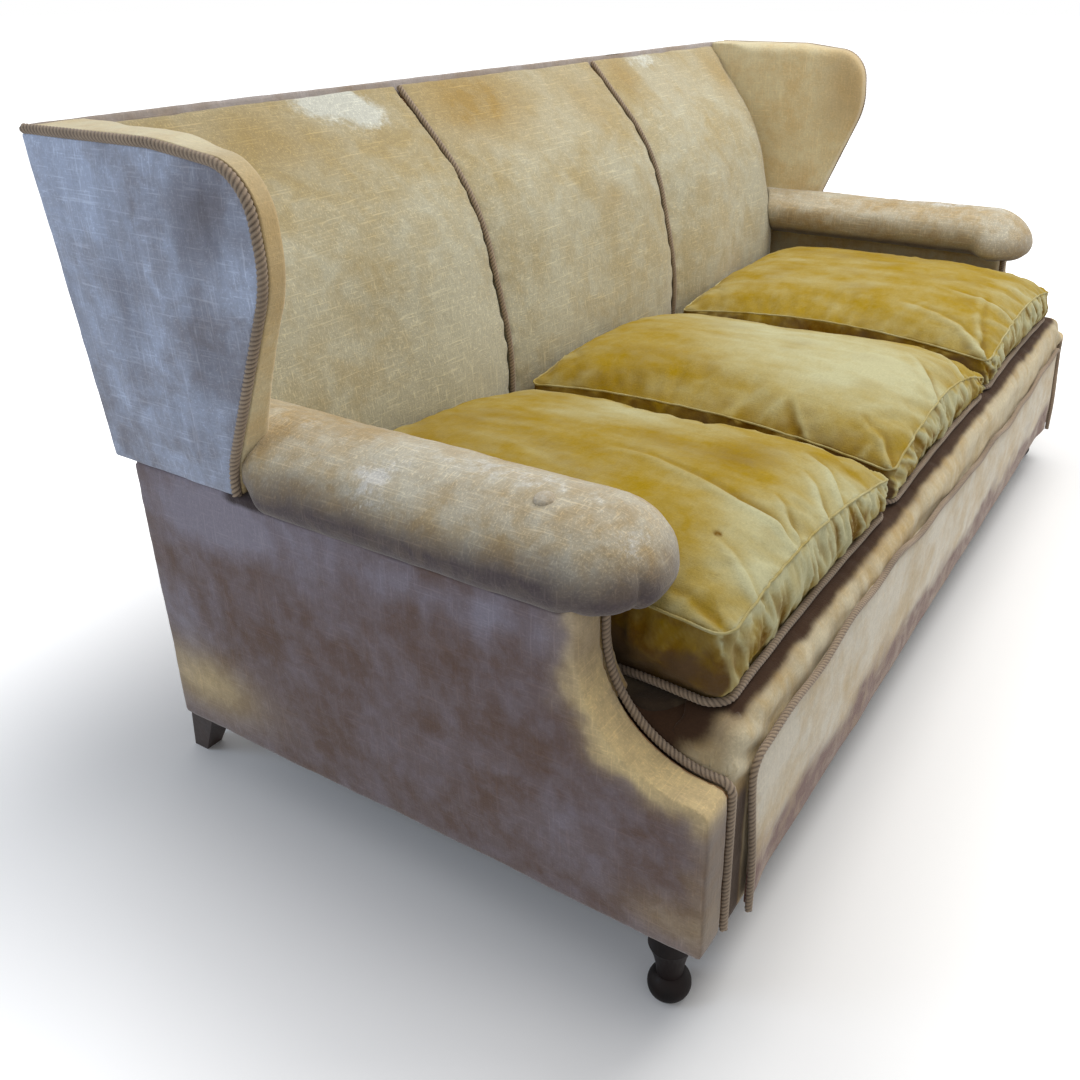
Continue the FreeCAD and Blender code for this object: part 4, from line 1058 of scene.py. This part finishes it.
back_panel("back_panel_left", 1.0, [((-0.45, 0.44, 0.89), (0.12, 0.10, 0.06), 0.8),
                                     ((-0.55, 0.36, 0.60), (0.3, 0.2, 0.14), 0.5),
                                     ((-0.46, 0.33, 0.48), (0.2, 0.2, 0.10), 0.6)],
           [((-0.66, 0.42, 0.88), (0.14, 0.1, 0.07), 0.30), ((-0.78, 0.4, 0.80), (0.05, 0.1, 0.10), 0.5)],
           [((-0.475, 0.45, 0.915), (0.085, 0.10, 0.035), 1.15),
            ((-0.41, 0.44, 0.89), (0.05, 0.10, 0.04), 0.8)])
back_panel("back_panel_centre", 2.0, [((0.05, 0.43, 0.92), (0.09, 0.06, 0.04), 0.7)],
           [((-0.15, 0.42, 0.89), (0.16, 0.1, 0.10), 0.9), ((0.1, 0.3, 0.7), (0.05, 0.1, 0.03), 0.4),
            ((0.18, 0.4, 0.84), (0.08, 0.1, 0.08), 0.5), ((0.02, 0.36, 0.63), (0.16, 0.1, 0.16), 0.35)])
back_panel("back_panel_right", 3.0, [((0.50, 0.42, 0.88), (0.14, 0.1, 0.09), 1.2)],
           [((0.8, 0.42, 0.85), (0.08, 0.1, 0.1), 0.6), ((0.38, 0.42, 0.90), (0.06, 0.1, 0.05), 0.6)],
           [((0.50, 0.45, 0.915), (0.10, 0.10, 0.025), 0.7)])

# Back cords: the same braid, sewn into the grooves between the panels, from the seat over the top.
cord_line = rounded([(0.252, 0.3777), (0.244, 0.505, 0.5), (0.303, 0.76, 0.35), (0.4569, 0.924)],
                    0.002, closed=False)
back_braids = [braid("back_braid_" + name, [(side * 0.3, p.x, p.y) for p in cord_line], 0.010)
               for side, name in ((-1, "left"), (1, "right"))]
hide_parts("back_cords")
for piece in back_braids:
    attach(piece, "sofa")

# Outside back: two covers stretched over the frame and tacked, the upper one leaning out with the posts.
# Its lower edge is turned in under the step between them.
rear_velvet = velvet("outside_back_velvet", colour(156, 138, 120), colour(176, 168, 166),
                     colour(150, 124, 90), size=0.2, offset=(7.1, 0.3, 2.9), weave=0.35, worn_share=0.5)


def joined(piece, others):
    """The piece with the others made part of its mesh."""
    bpy.context.view_layer.objects.active = piece
    for obj in bpy.context.view_layer.objects:
        obj.select_set(obj == piece or obj in others)
    bpy.ops.object.join()
    return piece


def rear_cover(name, node, low, high, lean, turned_in=None):
    """Cover on the back between two heights; lean(v) gives the place of its back plane at height v.

    turned_in is how far its lower edge turns forward under the frame."""
    points = rounded([(-0.9455, low, 0.004), (0.9455, low, 0.004), (0.9455, high, 0.004),
                      (-0.9455, high, 0.004)], 0.008)
    thickness = 0.0038
    piece = pad_on(name, points, lambda u, v, w: Vector((u, lean(v) + w, v)), thickness, 0.003, 0.003, 0.06,
                   spacing=0.012)
    if turned_in:
        back = lean(low) + thickness - 0.001
        rings = []
        for i in range(120):
            x = -0.944 + 1.888 * i / 119
            rings.append([(x, back - turned_in, low + 0.0003), (x, back - 0.001, low + 0.0003),
                          (x, back, low + 0.0013), (x, back - turned_in, low + 0.0023)])
        piece = joined(piece, [skin("turned_edge", rings)])
    ruffle(piece, lambda p, n: 0.0014 * fbm(p, (0.3, 0.2, 0.12), 9.0) + 0.0005 * fbm(p, 0.04, 3.0))
    paint(piece, "shade", lambda p, n: 0.4 * spot(p, (0.3, 0.45, 0.3), (0.3, 1, 0.1))
          + 0.4 * spot(p, (-0.5, 0.45, 0.75), (0.2, 1, 0.12)))
    paint(piece, "worn", lambda p, n: 0.2 * step(0.8, 0.93, p.z))
    upholster(piece, rear_velvet, "mauve_velvet", 0.1, node)


slope = math.tan(math.radians(6.5))
rear_cover("outside_back_upper_cover", "outside_back_upper", 0.5135, 0.9335,
           lambda v: 0.4682 - (0.934 - v) * slope, turned_in=0.0312)
rear_cover("outside_back_lower_cover", "outside_back_lower", 0.1085, 0.5125, lambda v: 0.3886)

# Front of the seat: a stuffed lip, rolled over the front rail and running down to the base as an apron.
# Its velvet is puckered along the roll and pale on its front edge; painted shade turns it brown and dark
# where the cushions overhang it.
lip_velvet = velvet("lip_velvet", colour(188, 162, 112), colour(206, 194, 164), colour(134, 104, 60),
                    size=0.14, offset=(4.4, 0.8, 0.2), weave=0.35, worn_share=0.55, mark=colour(64, 44, 30),
                    ragged=0.12, fray=0.2, sheen=0.18)
lip_section = rounded([(-0.4577, 0.108), (-0.4617, 0.108), (-0.4617, 0.377, 0.034), (-0.3850, 0.377, 0.004),
                       (-0.3850, 0.352), (-0.4275, 0.350), (-0.4275, 0.300), (-0.4577, 0.300)], 0.006)
lip_half = 0.8912
lip_count = 300
roll_middle = -0.4317


def rounded_end(from_end, over, amount):
    """How far an end that is rounded over some length has gone back, at most the amount."""
    if from_end >= over:
        return 0
    return amount * (1 - math.sqrt(max(0.0, 1 - (1 - from_end / over) ** 2)))


rings = []
for i in range(lip_count + 1):
    x = -lip_half + 2 * lip_half * i / lip_count
    draw = rounded_end(lip_half - abs(x), 0.009, 0.009)
    drop = rounded_end(lip_half - abs(x), 0.050, 0.043)
    ring = []
    for p in lip_section:
        if p.y > 0.30:
            inward = roll_middle - p.x
            p = Vector((p.x + math.copysign(min(draw, abs(inward)), inward),
                        p.y - drop * step(0.31, 0.377, p.y)))
        face = step(-0.445, -0.4617, p.x) if p.y < 0.34 else 1.0
        soft = step(0.30, 0.345, p.y) * (1 if p.x < -0.405 else 0)
        sway = 0.004 * fbm((x, 0, p.y), (0.16, 1, 0.06), 11.0) * face
        fold = 0.0024 * fbm((x, 0, p.y), (0.045, 1, 0.2), 3.0) * soft
        fold *= 1 + fbm((x, 0, 0), (0.22, 1, 1), 6.0)
        end = step(0.76, 0.88, abs(x))
        fold += 0.0035 * end * math.sin(p.y * 150 + x * 90) * step(0.27, 0.32, p.y) * face
        ring.append(Vector((x, p.x - (sway + fold) * (0.35 if p.y < 0.3 else 1.0),
                            p.y + 0.6 * min(0.0, sway + fold) * soft)))
    rings.append(ring)
lip = skin("seat_lip_pad", rings)
scoop_radius = 0.1388
return_inner = 0.842
returns = []
for side in (-1, 1):
    # each end turns back beside the arm, sloping from the lip's top down to the arm cord
    fold_rings = []
    for i in range(60):
        y = -0.452 + 0.130 * i / 59
        reach = min(0.138, max(0.0, y + 0.4438))
        edge = min(0.3715, 0.3160 + scoop_radius - math.sqrt(scoop_radius ** 2 - reach ** 2))
        crown = 0.3725 - 0.012 * step(-0.440, -0.452, y)
        ring = []
        for k in range(13):
            a = math.pi / 2 * k / 12
            soft = 0.0015 * fbm((k * 0.004, y, 0), (0.03, 0.03, 1), side)
            ring.append(Vector((side * (return_inner + 0.0500 * math.sin(a) + soft), y,
                                edge + (crown - edge) * math.cos(a) + soft)))
        ring += [Vector((side * (return_inner + 0.0500), y, 0.298)), Vector((side * return_inner, y, 0.298))]
        fold_rings.append(ring)
    returns.append(skin("lip_return", fold_rings))
joined(lip, returns)


# painted shade: an amber band where the cushions overhang the lip. The apron also darkens towards its base,
# and the strip between the arm cord and the border cord darkens low down.
def lip_shade(p, n):
    inner = step(-0.4610, -0.440, p.y + 0.003 * fbm(p, 0.05, 2.0)) * step(0.315, 0.345, p.z)
    strip_side = step(0.846, 0.860, abs(p.x)) * step(0.325, 0.285, p.z)
    return 0.5 * step(0.22, 0.12, p.z) + 0.55 * inner + 0.9 * strip_side


# painted shadow: dark under the front edge of the cushions and in the hollow beside the arm; the strip
# between the cords is also darker low down
def lip_mark(p, n):
    under = step(-0.4600, -0.436, p.y + 0.003 * fbm(p, 0.06, 5.0)) * step(0.33, 0.36, p.z)
    hollow = step(-0.435, -0.370, p.y) * step(0.83, 0.845, abs(p.x))
    under *= 1 - 0.55 * step(0.835, 0.86, abs(p.x)) * step(-0.405, -0.44, p.y)
    return 0.95 * max(under, hollow) + 0.85 * step(0.848, 0.860, abs(p.x)) * step(0.318, 0.28, p.z)


def lip_worn(p, n):
    streaks = (0.3 + 0.7 * fbm(p, (0.03, 1, 0.2), 3.0)) * step(0.31, 0.36, p.z) * step(-0.42, -0.45, p.y)
    return streaks + 0.8 * spot(p, (-0.868, -0.462, 0.335), (0.022, 0.03, 0.03)) - 0.1


paint(lip, "shade", lip_shade)
paint(lip, "mark", lip_mark)
paint(lip, "worn", lip_worn)
upholster(lip, lip_velvet, "pale_velvet", 0.5, "front_lip")

# Border: a flat panel sewn over the apron, loose enough to wave along its top edge, which is covered by a
# cord. Towards its lower edge it turns reddish brown.
border_tops = [(-0.850, 0.322, 0.025), (-0.5032, 0.342, 1.2), (0.108, 0.300, 2.5), (0.5279, 0.288, 2.5),
               (0.850, 0.306, 0.025)]
border_velvet = velvet("border_velvet", colour(190, 168, 128), colour(208, 200, 182), colour(104, 66, 60),
                       size=0.15, offset=(1.4, 0.9, 6.2), weave=0.3, worn_share=0.6)
border_points = rounded([(-0.850, 0.1085, 0.004), (0.850, 0.1085, 0.004)] + border_tops[::-1], 0.008)


def billow(p, height):
    """How far the loose border and its cord stand off at a place along the front and a height."""
    wave = 0.0035 * (0.5 + 0.5 * math.sin(p * 17 + 2 * math.sin(p * 5)))
    return wave * step(0.108, 0.3, height) + 0.009 * step(0.77, 0.84, abs(p)) * step(0.31, 0.15, height)


border = pad_on("border_panel", border_points,
                lambda u, v, w: Vector((u, -0.4620 - w - 0.6 * billow(u, v), v)),
                0.0048, 0.002, 0.003, 0.03, centre=Vector((0, 0.21)), spacing=0.012)
ruffle(border, lambda p, n: 0.0016 * fbm(p, (0.1, 1, 0.09), 13.0))
paint(border, "shade", lambda p, n: 1.2 * step(0.205, 0.135, p.z + 0.03 * fbm(p, (0.09, 1, 0.05), 3.0)))
paint(border, "worn", lambda p, n: 0.25 * step(0.22, 0.3, p.z) - 0.05)
upholster(border, border_velvet, "pale_velvet", 0.2, "front_border")

border_line = rounded([(-0.8553, 0.108), (-0.8553, 0.3272, 0.030), (-0.5032, 0.3475, 1.2),
                       (0.108, 0.3053, 2.5), (0.5279, 0.2933, 2.5), (0.8553, 0.3113, 0.030),
                       (0.8553, 0.108)], 0.002, closed=False)
border_braid = braid("border_braid", [(p.x, -0.4672 - billow(p.x, p.y),
                                       p.y + 0.004 * math.sin(p.x * 31) * step(0.25, 0.3, p.y)
                                       * step(0.85, 0.8, abs(p.x))) for p in border_line], 0.0095)
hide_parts("border_cord")
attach(border_braid, "sofa")

# Loose cushions: boxed covers of golden velvet with a sewn top seam and a braid round the base, a little too
# large for the soft filling. They pucker along the seams, sag at the corners and are creased by use.
cushion_velvet = velvet("cushion_velvet", colour(163, 133, 12), colour(194, 190, 150), colour(112, 78, 6),
                        size=0.10, offset=(0.2, 5.2, 1.1), weave=0.15, worn_share=0.13, sheen=0.12,
                        mark=colour(98, 76, 52), fray=0.3)
for label, value in (("Specular IOR Level", 0.06), ("Sheen Tint", (1.0, 0.93, 0.66, 1))):
    cushion_velvet.node_tree.nodes["Principled BSDF"].inputs[label].default_value = value


def drawn_in(x, y, half_x, half_y):
    """How far the long sides of a cushion curve in at a place in plan."""
    return x / half_x * 0.009 * (1 - (y / half_y) ** 2), y / half_y * 0.005 * (1 - (x / half_x) ** 2)


def cushion_cover(name, middle, half_x, half_y, base, seam):
    """Cover as sewn: a domed top panel, an upright box between the seams and a flat base."""
    corner = 0.021
    crown = 0.029
    count_x, count_y = 62, 74
    box_count = 12
    # shares of the height from the base up, and how far the side stands in there
    shape = ((0.0, 0.0106), (0.08, 0.0106), (0.25, 0.003), (0.6, 0.0005), (1.0, 0.004))

    def plan(u, v, inside):
        """Place in plan at shares u and v of the half sizes, and how far that is from the edge."""
        wide, deep = half_x - inside, half_y - inside
        x, y = u * wide, v * deep
        a = abs(x) - (wide - corner)
        b = abs(y) - (deep - corner)
        if a > 0 and b > 0:
            x = math.copysign(wide - corner + a * math.sqrt(1 - (b / corner) ** 2 / 2), x)
            y = math.copysign(deep - corner + b * math.sqrt(1 - (a / corner) ** 2 / 2), y)
            a = abs(x) - (wide - corner)
            b = abs(y) - (deep - corner)
        gap = corner - math.hypot(max(a, 0), max(b, 0)) - min(max(a, b), 0)
        x -= drawn_in(x, y, half_x, half_y)[0]
        y -= drawn_in(x, y, half_x, half_y)[1]
        return middle.x + x, middle.y + y, max(0.0, gap)

    def inset(share):
        """How far the side stands in from the plan at a share of its height."""
        for (a, low_in), (b, high_in) in zip(shape, shape[1:]):
            if share <= b:
                return low_in + (high_in - low_in) * (share - a) / (b - a)
        return shape[-1][1]

    points = []
    faces = []
    for share in (1.0, 0.0):
        first = len(points)
        for j in range(count_y + 1):
            for i in range(count_x + 1):
                x, y, gap = plan(2 * i / count_x - 1, 2 * j / count_y - 1, inset(share))
                points.append((x, y, seam + crown * (1 - math.exp(-gap / 0.05)) if share else base))
        for j in range(count_y):
            for i in range(count_x):
                a = first + j * (count_x + 1) + i
                faces.append((a, a + 1, a + count_x + 2, a + count_x + 1))
    loop = [(2 * i / count_x - 1, -1) for i in range(count_x)]
    loop += [(1, 2 * j / count_y - 1) for j in range(count_y)]
    loop += [(1 - 2 * i / count_x, 1) for i in range(count_x)]
    loop += [(-1, 1 - 2 * j / count_y) for j in range(count_y)]
    first = len(points)
    for k in range(box_count + 1):
        share = 1 - k / box_count
        for u, v in loop:
            x, y, gap = plan(u, v, inset(share))
            points.append((x, y, base + (seam - base) * share))
    for k in range(box_count):
        for i in range(len(loop)):
            j = (i + 1) % len(loop)
            faces.append((first + k * len(loop) + i, first + k * len(loop) + j,
                          first + (k + 1) * len(loop) + j, first + (k + 1) * len(loop) + i))
    mesh = bpy.data.meshes.new(name)
    mesh.from_pydata(points, [], faces)
    cover = finished(name, mesh)
    sharp = mesh.attributes.new("crease_edge", "FLOAT", "EDGE")
    on_seam = [abs(v.co.z - seam) < 0.0001 for v in mesh.vertices]
    sharp.data.foreach_set("value", [0.85 if all(on_seam[i] for i in edge.vertices) else 0.0
                                     for edge in mesh.edges])
    return cover, [Vector(points[first + i]) for i in range(len(loop))]


def filled(obj, seam, cap):
    """Blows the cover up a little against its pinned seams; no point moves further than cap."""
    mesh = obj.data
    start = [v.co.copy() for v in mesh.vertices]
    low = min(p.z for p in start)
    pins = obj.vertex_groups.new(name="pins")
    for i, p in enumerate(start):
        if p.z < low + 0.012 or abs(p.z - seam) < 0.0001:
            pins.add([i], 1.0, "ADD")
    cloth = obj.modifiers.new("cloth", "CLOTH")
    cloth.settings.quality = 4
    cloth.settings.mass = 0.3
    cloth.settings.tension_stiffness = 12
    cloth.settings.compression_stiffness = 12
    cloth.settings.bending_stiffness = 0.2
    cloth.settings.use_pressure = True
    cloth.settings.uniform_pressure_force = 3
    cloth.settings.shrink_min = -0.035
    cloth.settings.effector_weights.gravity = 0
    cloth.settings.vertex_group_mass = "pins"
    cloth.collision_settings.use_collision = False
    last_frame = 20
    cloth.point_cache.frame_start = 1
    cloth.point_cache.frame_end = last_frame
    for number in range(1, last_frame + 1):
        scene.frame_set(number)
    shaped = obj.evaluated_get(bpy.context.evaluated_depsgraph_get()).to_mesh()
    ends = [v.co.copy() for v in shaped.vertices]
    obj.modifiers.clear()
    obj.vertex_groups.clear()
    for vertex, a, b in zip(mesh.vertices, start, ends):
        move = b - a
        if move.length > cap:
            move *= cap / move.length
        vertex.co = a + move
    mesh.update()
    scene.frame_set(1)


def crease(p, line, width, height):
    """A fold along a line in plan: a ridge with a hollow on its right, dying out towards the line's end."""
    best = None
    for i, (a, b) in enumerate(zip(line, line[1:])):
        way_x, way_y = b[0] - a[0], b[1] - a[1]
        t = ((p.x - a[0]) * way_x + (p.y - a[1]) * way_y) / (way_x ** 2 + way_y ** 2)
        t = min(1.0, max(0.0, t))
        off_x, off_y = p.x - a[0] - way_x * t, p.y - a[1] - way_y * t
        gap = math.hypot(off_x, off_y)
        if best is None or gap < best[0]:
            best = (gap, math.copysign(gap, way_x * off_y - way_y * off_x), (i + t) / (len(line) - 1))
    gap, signed, along = best
    if gap > 4 * width:
        return 0.0
    fade = (1 - along) ** 0.7 * (0.6 + 0.4 * step(0, 0.1, along))
    return height * fade * (math.exp(-((signed - width) / width) ** 2)
                            - 0.8 * math.exp(-((signed + 0.6 * width) / width / 0.7) ** 2))


def seat_cushion(side, seed, drops, pale, deep, creases):
    """One cushion with its top seam and the braid round its base.

    drops says how far it sags at eight places round it, from its back corner on the left on, by way of the
    right side and the front. pale and deep are patches: centre, size and share. creases are folds on the
    top: a line in plan, width and height."""
    node = "seat_cushion_" + side
    lowest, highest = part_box(node)
    middle = (lowest + highest) / 2
    half_x = (highest.x - lowest.x) / 2 - 0.001
    half_y = (highest.y - lowest.y) / 2 - 0.001
    box_height = 0.107
    braid_z = 0.3832
    seam_z = lowest.z + box_height
    piece, seam_loop = cushion_cover("cushion_" + side, middle, half_x, half_y, lowest.z, seam_z)
    filled(piece, seam_z, 0.008)
    divide = piece.modifiers.new("divide", "SUBSURF")
    divide.levels = 1
    divide.render_levels = 1
    baked(piece)
    near = KDTree(len(piece.data.vertices))
    for i, vertex in enumerate(piece.data.vertices):
        near.insert(vertex.co, i)
    near.balance()
    seam_points = [near.find(p)[1] for p in seam_loop]

    def relief(p, n):
        """Height of the folds at a place."""
        if p.z < lowest.z + 0.006:
            return 0.0
        top = step(0.35, 0.65, n.z)
        in_x = half_x - abs(p.x - middle.x)
        in_y = half_y - abs(p.y - middle.y)
        along = p.x if abs(n.y) > abs(n.x) else p.y
        lean = along + 0.45 * (p.z - seam_z) * (1 + 1.5 * noise.noise(Vector((along / 0.15, 0, seed))))
        pull = (1 - abs(noise.noise(Vector((lean / 0.028, p.z / 0.12, seed))))) ** 3 - 0.45
        pull += 0.5 * ((1 - abs(noise.noise(Vector((lean / 0.011, p.z / 0.06, seed + 5))))) ** 3 - 0.45)
        pull *= 0.8 + 0.9 * noise.noise(Vector((along / 0.09, p.z / 0.1, seed + 3)))
        value = (1 - top) * (0.0062 if abs(n.y) > abs(n.x) else 0.0028) * pull
        if top > 0:
            gap = min(in_x, in_y)
            run = p.x if in_y < in_x else p.y
            short = (1 - abs(noise.noise(Vector((run / 0.03, gap / 0.15, seed + 9))))) ** 3 - 0.4
            long_one = (1 - abs(noise.noise(Vector((run / 0.07 + gap * 9, gap / 0.3, seed + 2))))) ** 5 - 0.2
            value += top * (0.0035 * short * math.exp(-gap / 0.02)
                            + 0.0045 * long_one * math.exp(-gap / 0.07) * (1.0 if p.y < middle.y else 0.4))
            for line, width, height in creases:
                value += top * crease(p, line, width, height)
        return value

    heights = [relief(v.co, v.normal) for v in piece.data.vertices]
    stations = ((-1, 1), (0, 1), (1, 1), (1, 0), (1, -1), (0, -1), (-1, -1), (-1, 0))
    moves = []
    for vertex, height in zip(piece.data.vertices, heights):
        p, n = vertex.co, vertex.normal
        across = (p.x - middle.x) / half_x
        along = (p.y - middle.y) / half_y
        if p.z < lowest.z + 0.004:
            moves.append(Vector())
            continue
        soft = 0.0035 * fbm(p, (0.16, 0.2, 0.12), seed) + 0.0012 * fbm(p, (0.05, 0.08, 0.05), seed + 1)
        # sat-in hollow towards the back
        soft -= 0.007 * math.exp(-((across / 0.6) ** 2 + ((along - 0.15) / 0.55) ** 2)) * step(0.3, 0.8, n.z)
        move = n * (soft + height - 0.002)
        # worn soft: its corners and edges sag, each by its own amount
        sag = 0.0
        for (u, v), drop in zip(stations, drops):
            if u and v:
                part = (1 + across * u) * (1 + along * v) * (across * u + along * v - 1) / 4
            elif u:
                part = (1 + across * u) * (1 - along ** 2) / 2
            else:
                part = (1 - across ** 2) * (1 + along * v) / 2
            sag += part * drop
        move.z -= sag * min(1.0, (p.z - lowest.z) / (seam_z - lowest.z))
        moves.append(move)
    for vertex, move in zip(piece.data.vertices, moves):
        vertex.co += move
    piece.data.update()

    # painted light: the ridges of the folds are painted paler and their hollows darker, and the upright sides
    # darker low down, most on the side that faces the near end
    worn = []
    shade = []
    for vertex, height in zip(piece.data.vertices, heights):
        p, n = vertex.co, vertex.normal
        side_on = step(0.6, 0.3, n.z)
        front_on = side_on * step(0.3, 0.8, -n.y)
        value = 90 * height * (1 + 1.3 * front_on)
        value += 0.30 * fbm(p, (0.05, 0.16, 0.05), seed + 8) * (1 - 0.5 * side_on)
        for centre, size, share in pale:
            value += share * spot(p, centre, size) * (1 - 0.6 * side_on)
        worn.append(min(1.0, max(0.0, value + 0.45 * front_on * step(0.385, 0.44, p.z))))
        value = -110 * height * (1 + 2.2 * front_on) + side_on * (0.08 + 0.42 * step(0.485, 0.41, p.z))
        value += (0.25 + 0.25 * side_on) * fbm(p, (0.08, 0.12, 0.06), seed + 3)
        if n.x < 0:
            value += 0.30 * side_on * step(0.3, 0.8, -n.x)
        value -= 0.14 * front_on
        for centre, size, share in deep:
            value += share * spot(p, centre, size)
        shade.append(min(1.0, max(0.0, value)))
    for name, values in (("worn", worn), ("shade", shade)):
        layer = piece.data.attributes.new(name, "FLOAT", "POINT")
        layer.data.foreach_set("value", values)

    def near_side_brown_and_shade(p, n):
        """Brown, partly painted shade, on the sides that face the near end, more of it lower down."""
        low = step(0.475, 0.395, p.z + 0.02 * fbm(p, 0.05, seed))
        return step(0.3, 0.8, -n.x) * (0.58 * low + 0.18 + 0.30 * fbm(p, (0.05, 0.06, 0.04), seed + 6))

    paint(piece, "mark", near_side_brown_and_shade)
    piece.data.materials.append(cushion_velvet)
    body = side + "_cushion"
    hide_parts(node)
    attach(piece, body)

    # the top seam stands up as a thin ridge of the same velvet
    seam_line = [piece.data.vertices[i].co.copy() for i in seam_points]
    seam = braid("seam_" + side, seam_line, 0.0038, closed=True, pitch=0.05, strands=1, sides=6,
                 spacing=0.003)
    seam.data.materials.clear()
    seam.data.materials.append(cushion_velvet)
    paint(seam, "worn", lambda p, n: 0.45 + 0.3 * fbm(p, 0.05, seed))
    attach(seam, body)

    line = []
    for p in rounded([(middle.x - half_x + 0.005, middle.y - half_y + 0.005, 0.030),
                      (middle.x + half_x - 0.005, middle.y - half_y + 0.005, 0.030),
                      (middle.x + half_x - 0.005, middle.y + half_y - 0.005, 0.030),
                      (middle.x - half_x + 0.005, middle.y + half_y - 0.005, 0.030)], 0.004):
        in_x, in_y = drawn_in(p.x - middle.x, p.y - middle.y, half_x, half_y)
        line.append((p.x - in_x, p.y - in_y, braid_z + 0.0006 * math.sin(p.x * 60 + p.y * 47)))
    cord = braid("cushion_braid_" + side, line, 0.0105, closed=True)
    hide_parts("cushion_cord_" + side)
    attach(cord, body)


seat_cushion("left", 1.0, (0.015, 0.008, 0.055, 0.032, 0.050, 0.006, 0.013, 0.0),
             [((-0.62, -0.42, 0.50), (0.26, 0.07, 0.1), 0.55), ((-0.44, -0.05, 0.51), (0.09, 0.17, 0.1), 0.5),
              ((-0.70, -0.36, 0.50), (0.10, 0.05, 0.1), 0.3)],
             [((-0.53, -0.29, 0.50), (0.06, 0.07, 0.1), 0.5), ((-0.83, -0.32, 0.50), (0.05, 0.08, 0.1), 0.4),
              # the deep patch at (-0.865, -0.30) beside the arm is painted shadow
              ((-0.66, 0.07, 0.50), (0.10, 0.13, 0.1), 0.25), ((-0.865, -0.30, 0.42), (0.03, 0.06, 0.1), 0.6),
              ((-0.728, -0.352, 0.51), (0.0045, 0.0045, 0.03), 3.0)],
             [([(-0.663, -0.434), (-0.649, -0.390), (-0.646, -0.341), (-0.621, -0.272), (-0.600, -0.187),
                (-0.592, -0.120)], 0.009, 0.0065),
              ([(-0.655, -0.434), (-0.619, -0.395), (-0.585, -0.36)], 0.006, 0.005),
              ([(-0.569, -0.434), (-0.517, -0.392), (-0.49, -0.36)], 0.007, 0.0055),
              ([(-0.519, -0.435), (-0.453, -0.385), (-0.43, -0.34)], 0.007, 0.005),
              ([(-0.786, -0.433), (-0.755, -0.395), (-0.732, -0.350)], 0.007, 0.0045),
              ([(-0.855, -0.425), (-0.84, -0.37), (-0.83, -0.30)], 0.008, 0.004)])
seat_cushion("centre", 2.6, (0.038, 0.016, 0.080, 0.070, 0.074, 0.012, 0.052, 0.022),
             [((-0.06, -0.30, 0.51), (0.20, 0.30, 0.1), 0.95), ((0.10, 0.0, 0.51), (0.18, 0.2, 0.1), 0.5)],
             [((-0.29, -0.30, 0.49), (0.045, 0.22, 0.1), 0.5),
              ((-0.27, 0.05, 0.50), (0.08, 0.12, 0.1), 0.25)],
             [([(-0.293, -0.290), (-0.255, -0.255), (-0.225, -0.235)], 0.007, -0.0035),
              ([(-0.285, -0.425), (-0.25, -0.40), (-0.225, -0.345)], 0.008, 0.006),
              ([(-0.085, -0.436), (0.003, -0.38), (0.05, -0.34)], 0.008, 0.0055),
              ([(0.10, -0.436), (0.14, -0.38), (0.16, -0.31)], 0.008, 0.005)])
seat_cushion("right", 4.1, (0.050, 0.026, 0.038, 0.022, 0.045, 0.015, 0.050, 0.026),
             [((0.42, -0.02, 0.51), (0.15, 0.2, 0.1), 0.15), ((0.60, -0.40, 0.50), (0.2, 0.06, 0.1), 0.3)],
             [((0.28, -0.2, 0.47), (0.03, 0.3, 0.1), 0.2), ((0.76, -0.05, 0.50), (0.12, 0.2, 0.1), 0.45)],
             [([(0.285, -0.425), (0.33, -0.36), (0.36, -0.27), (0.38, -0.2)], 0.009, 0.006),
              ([(0.46, -0.436), (0.464, -0.346), (0.484, -0.249)], 0.009, 0.005),
              ([(0.30, -0.41), (0.38, -0.38), (0.50, -0.36)], 0.008, 0.005)])
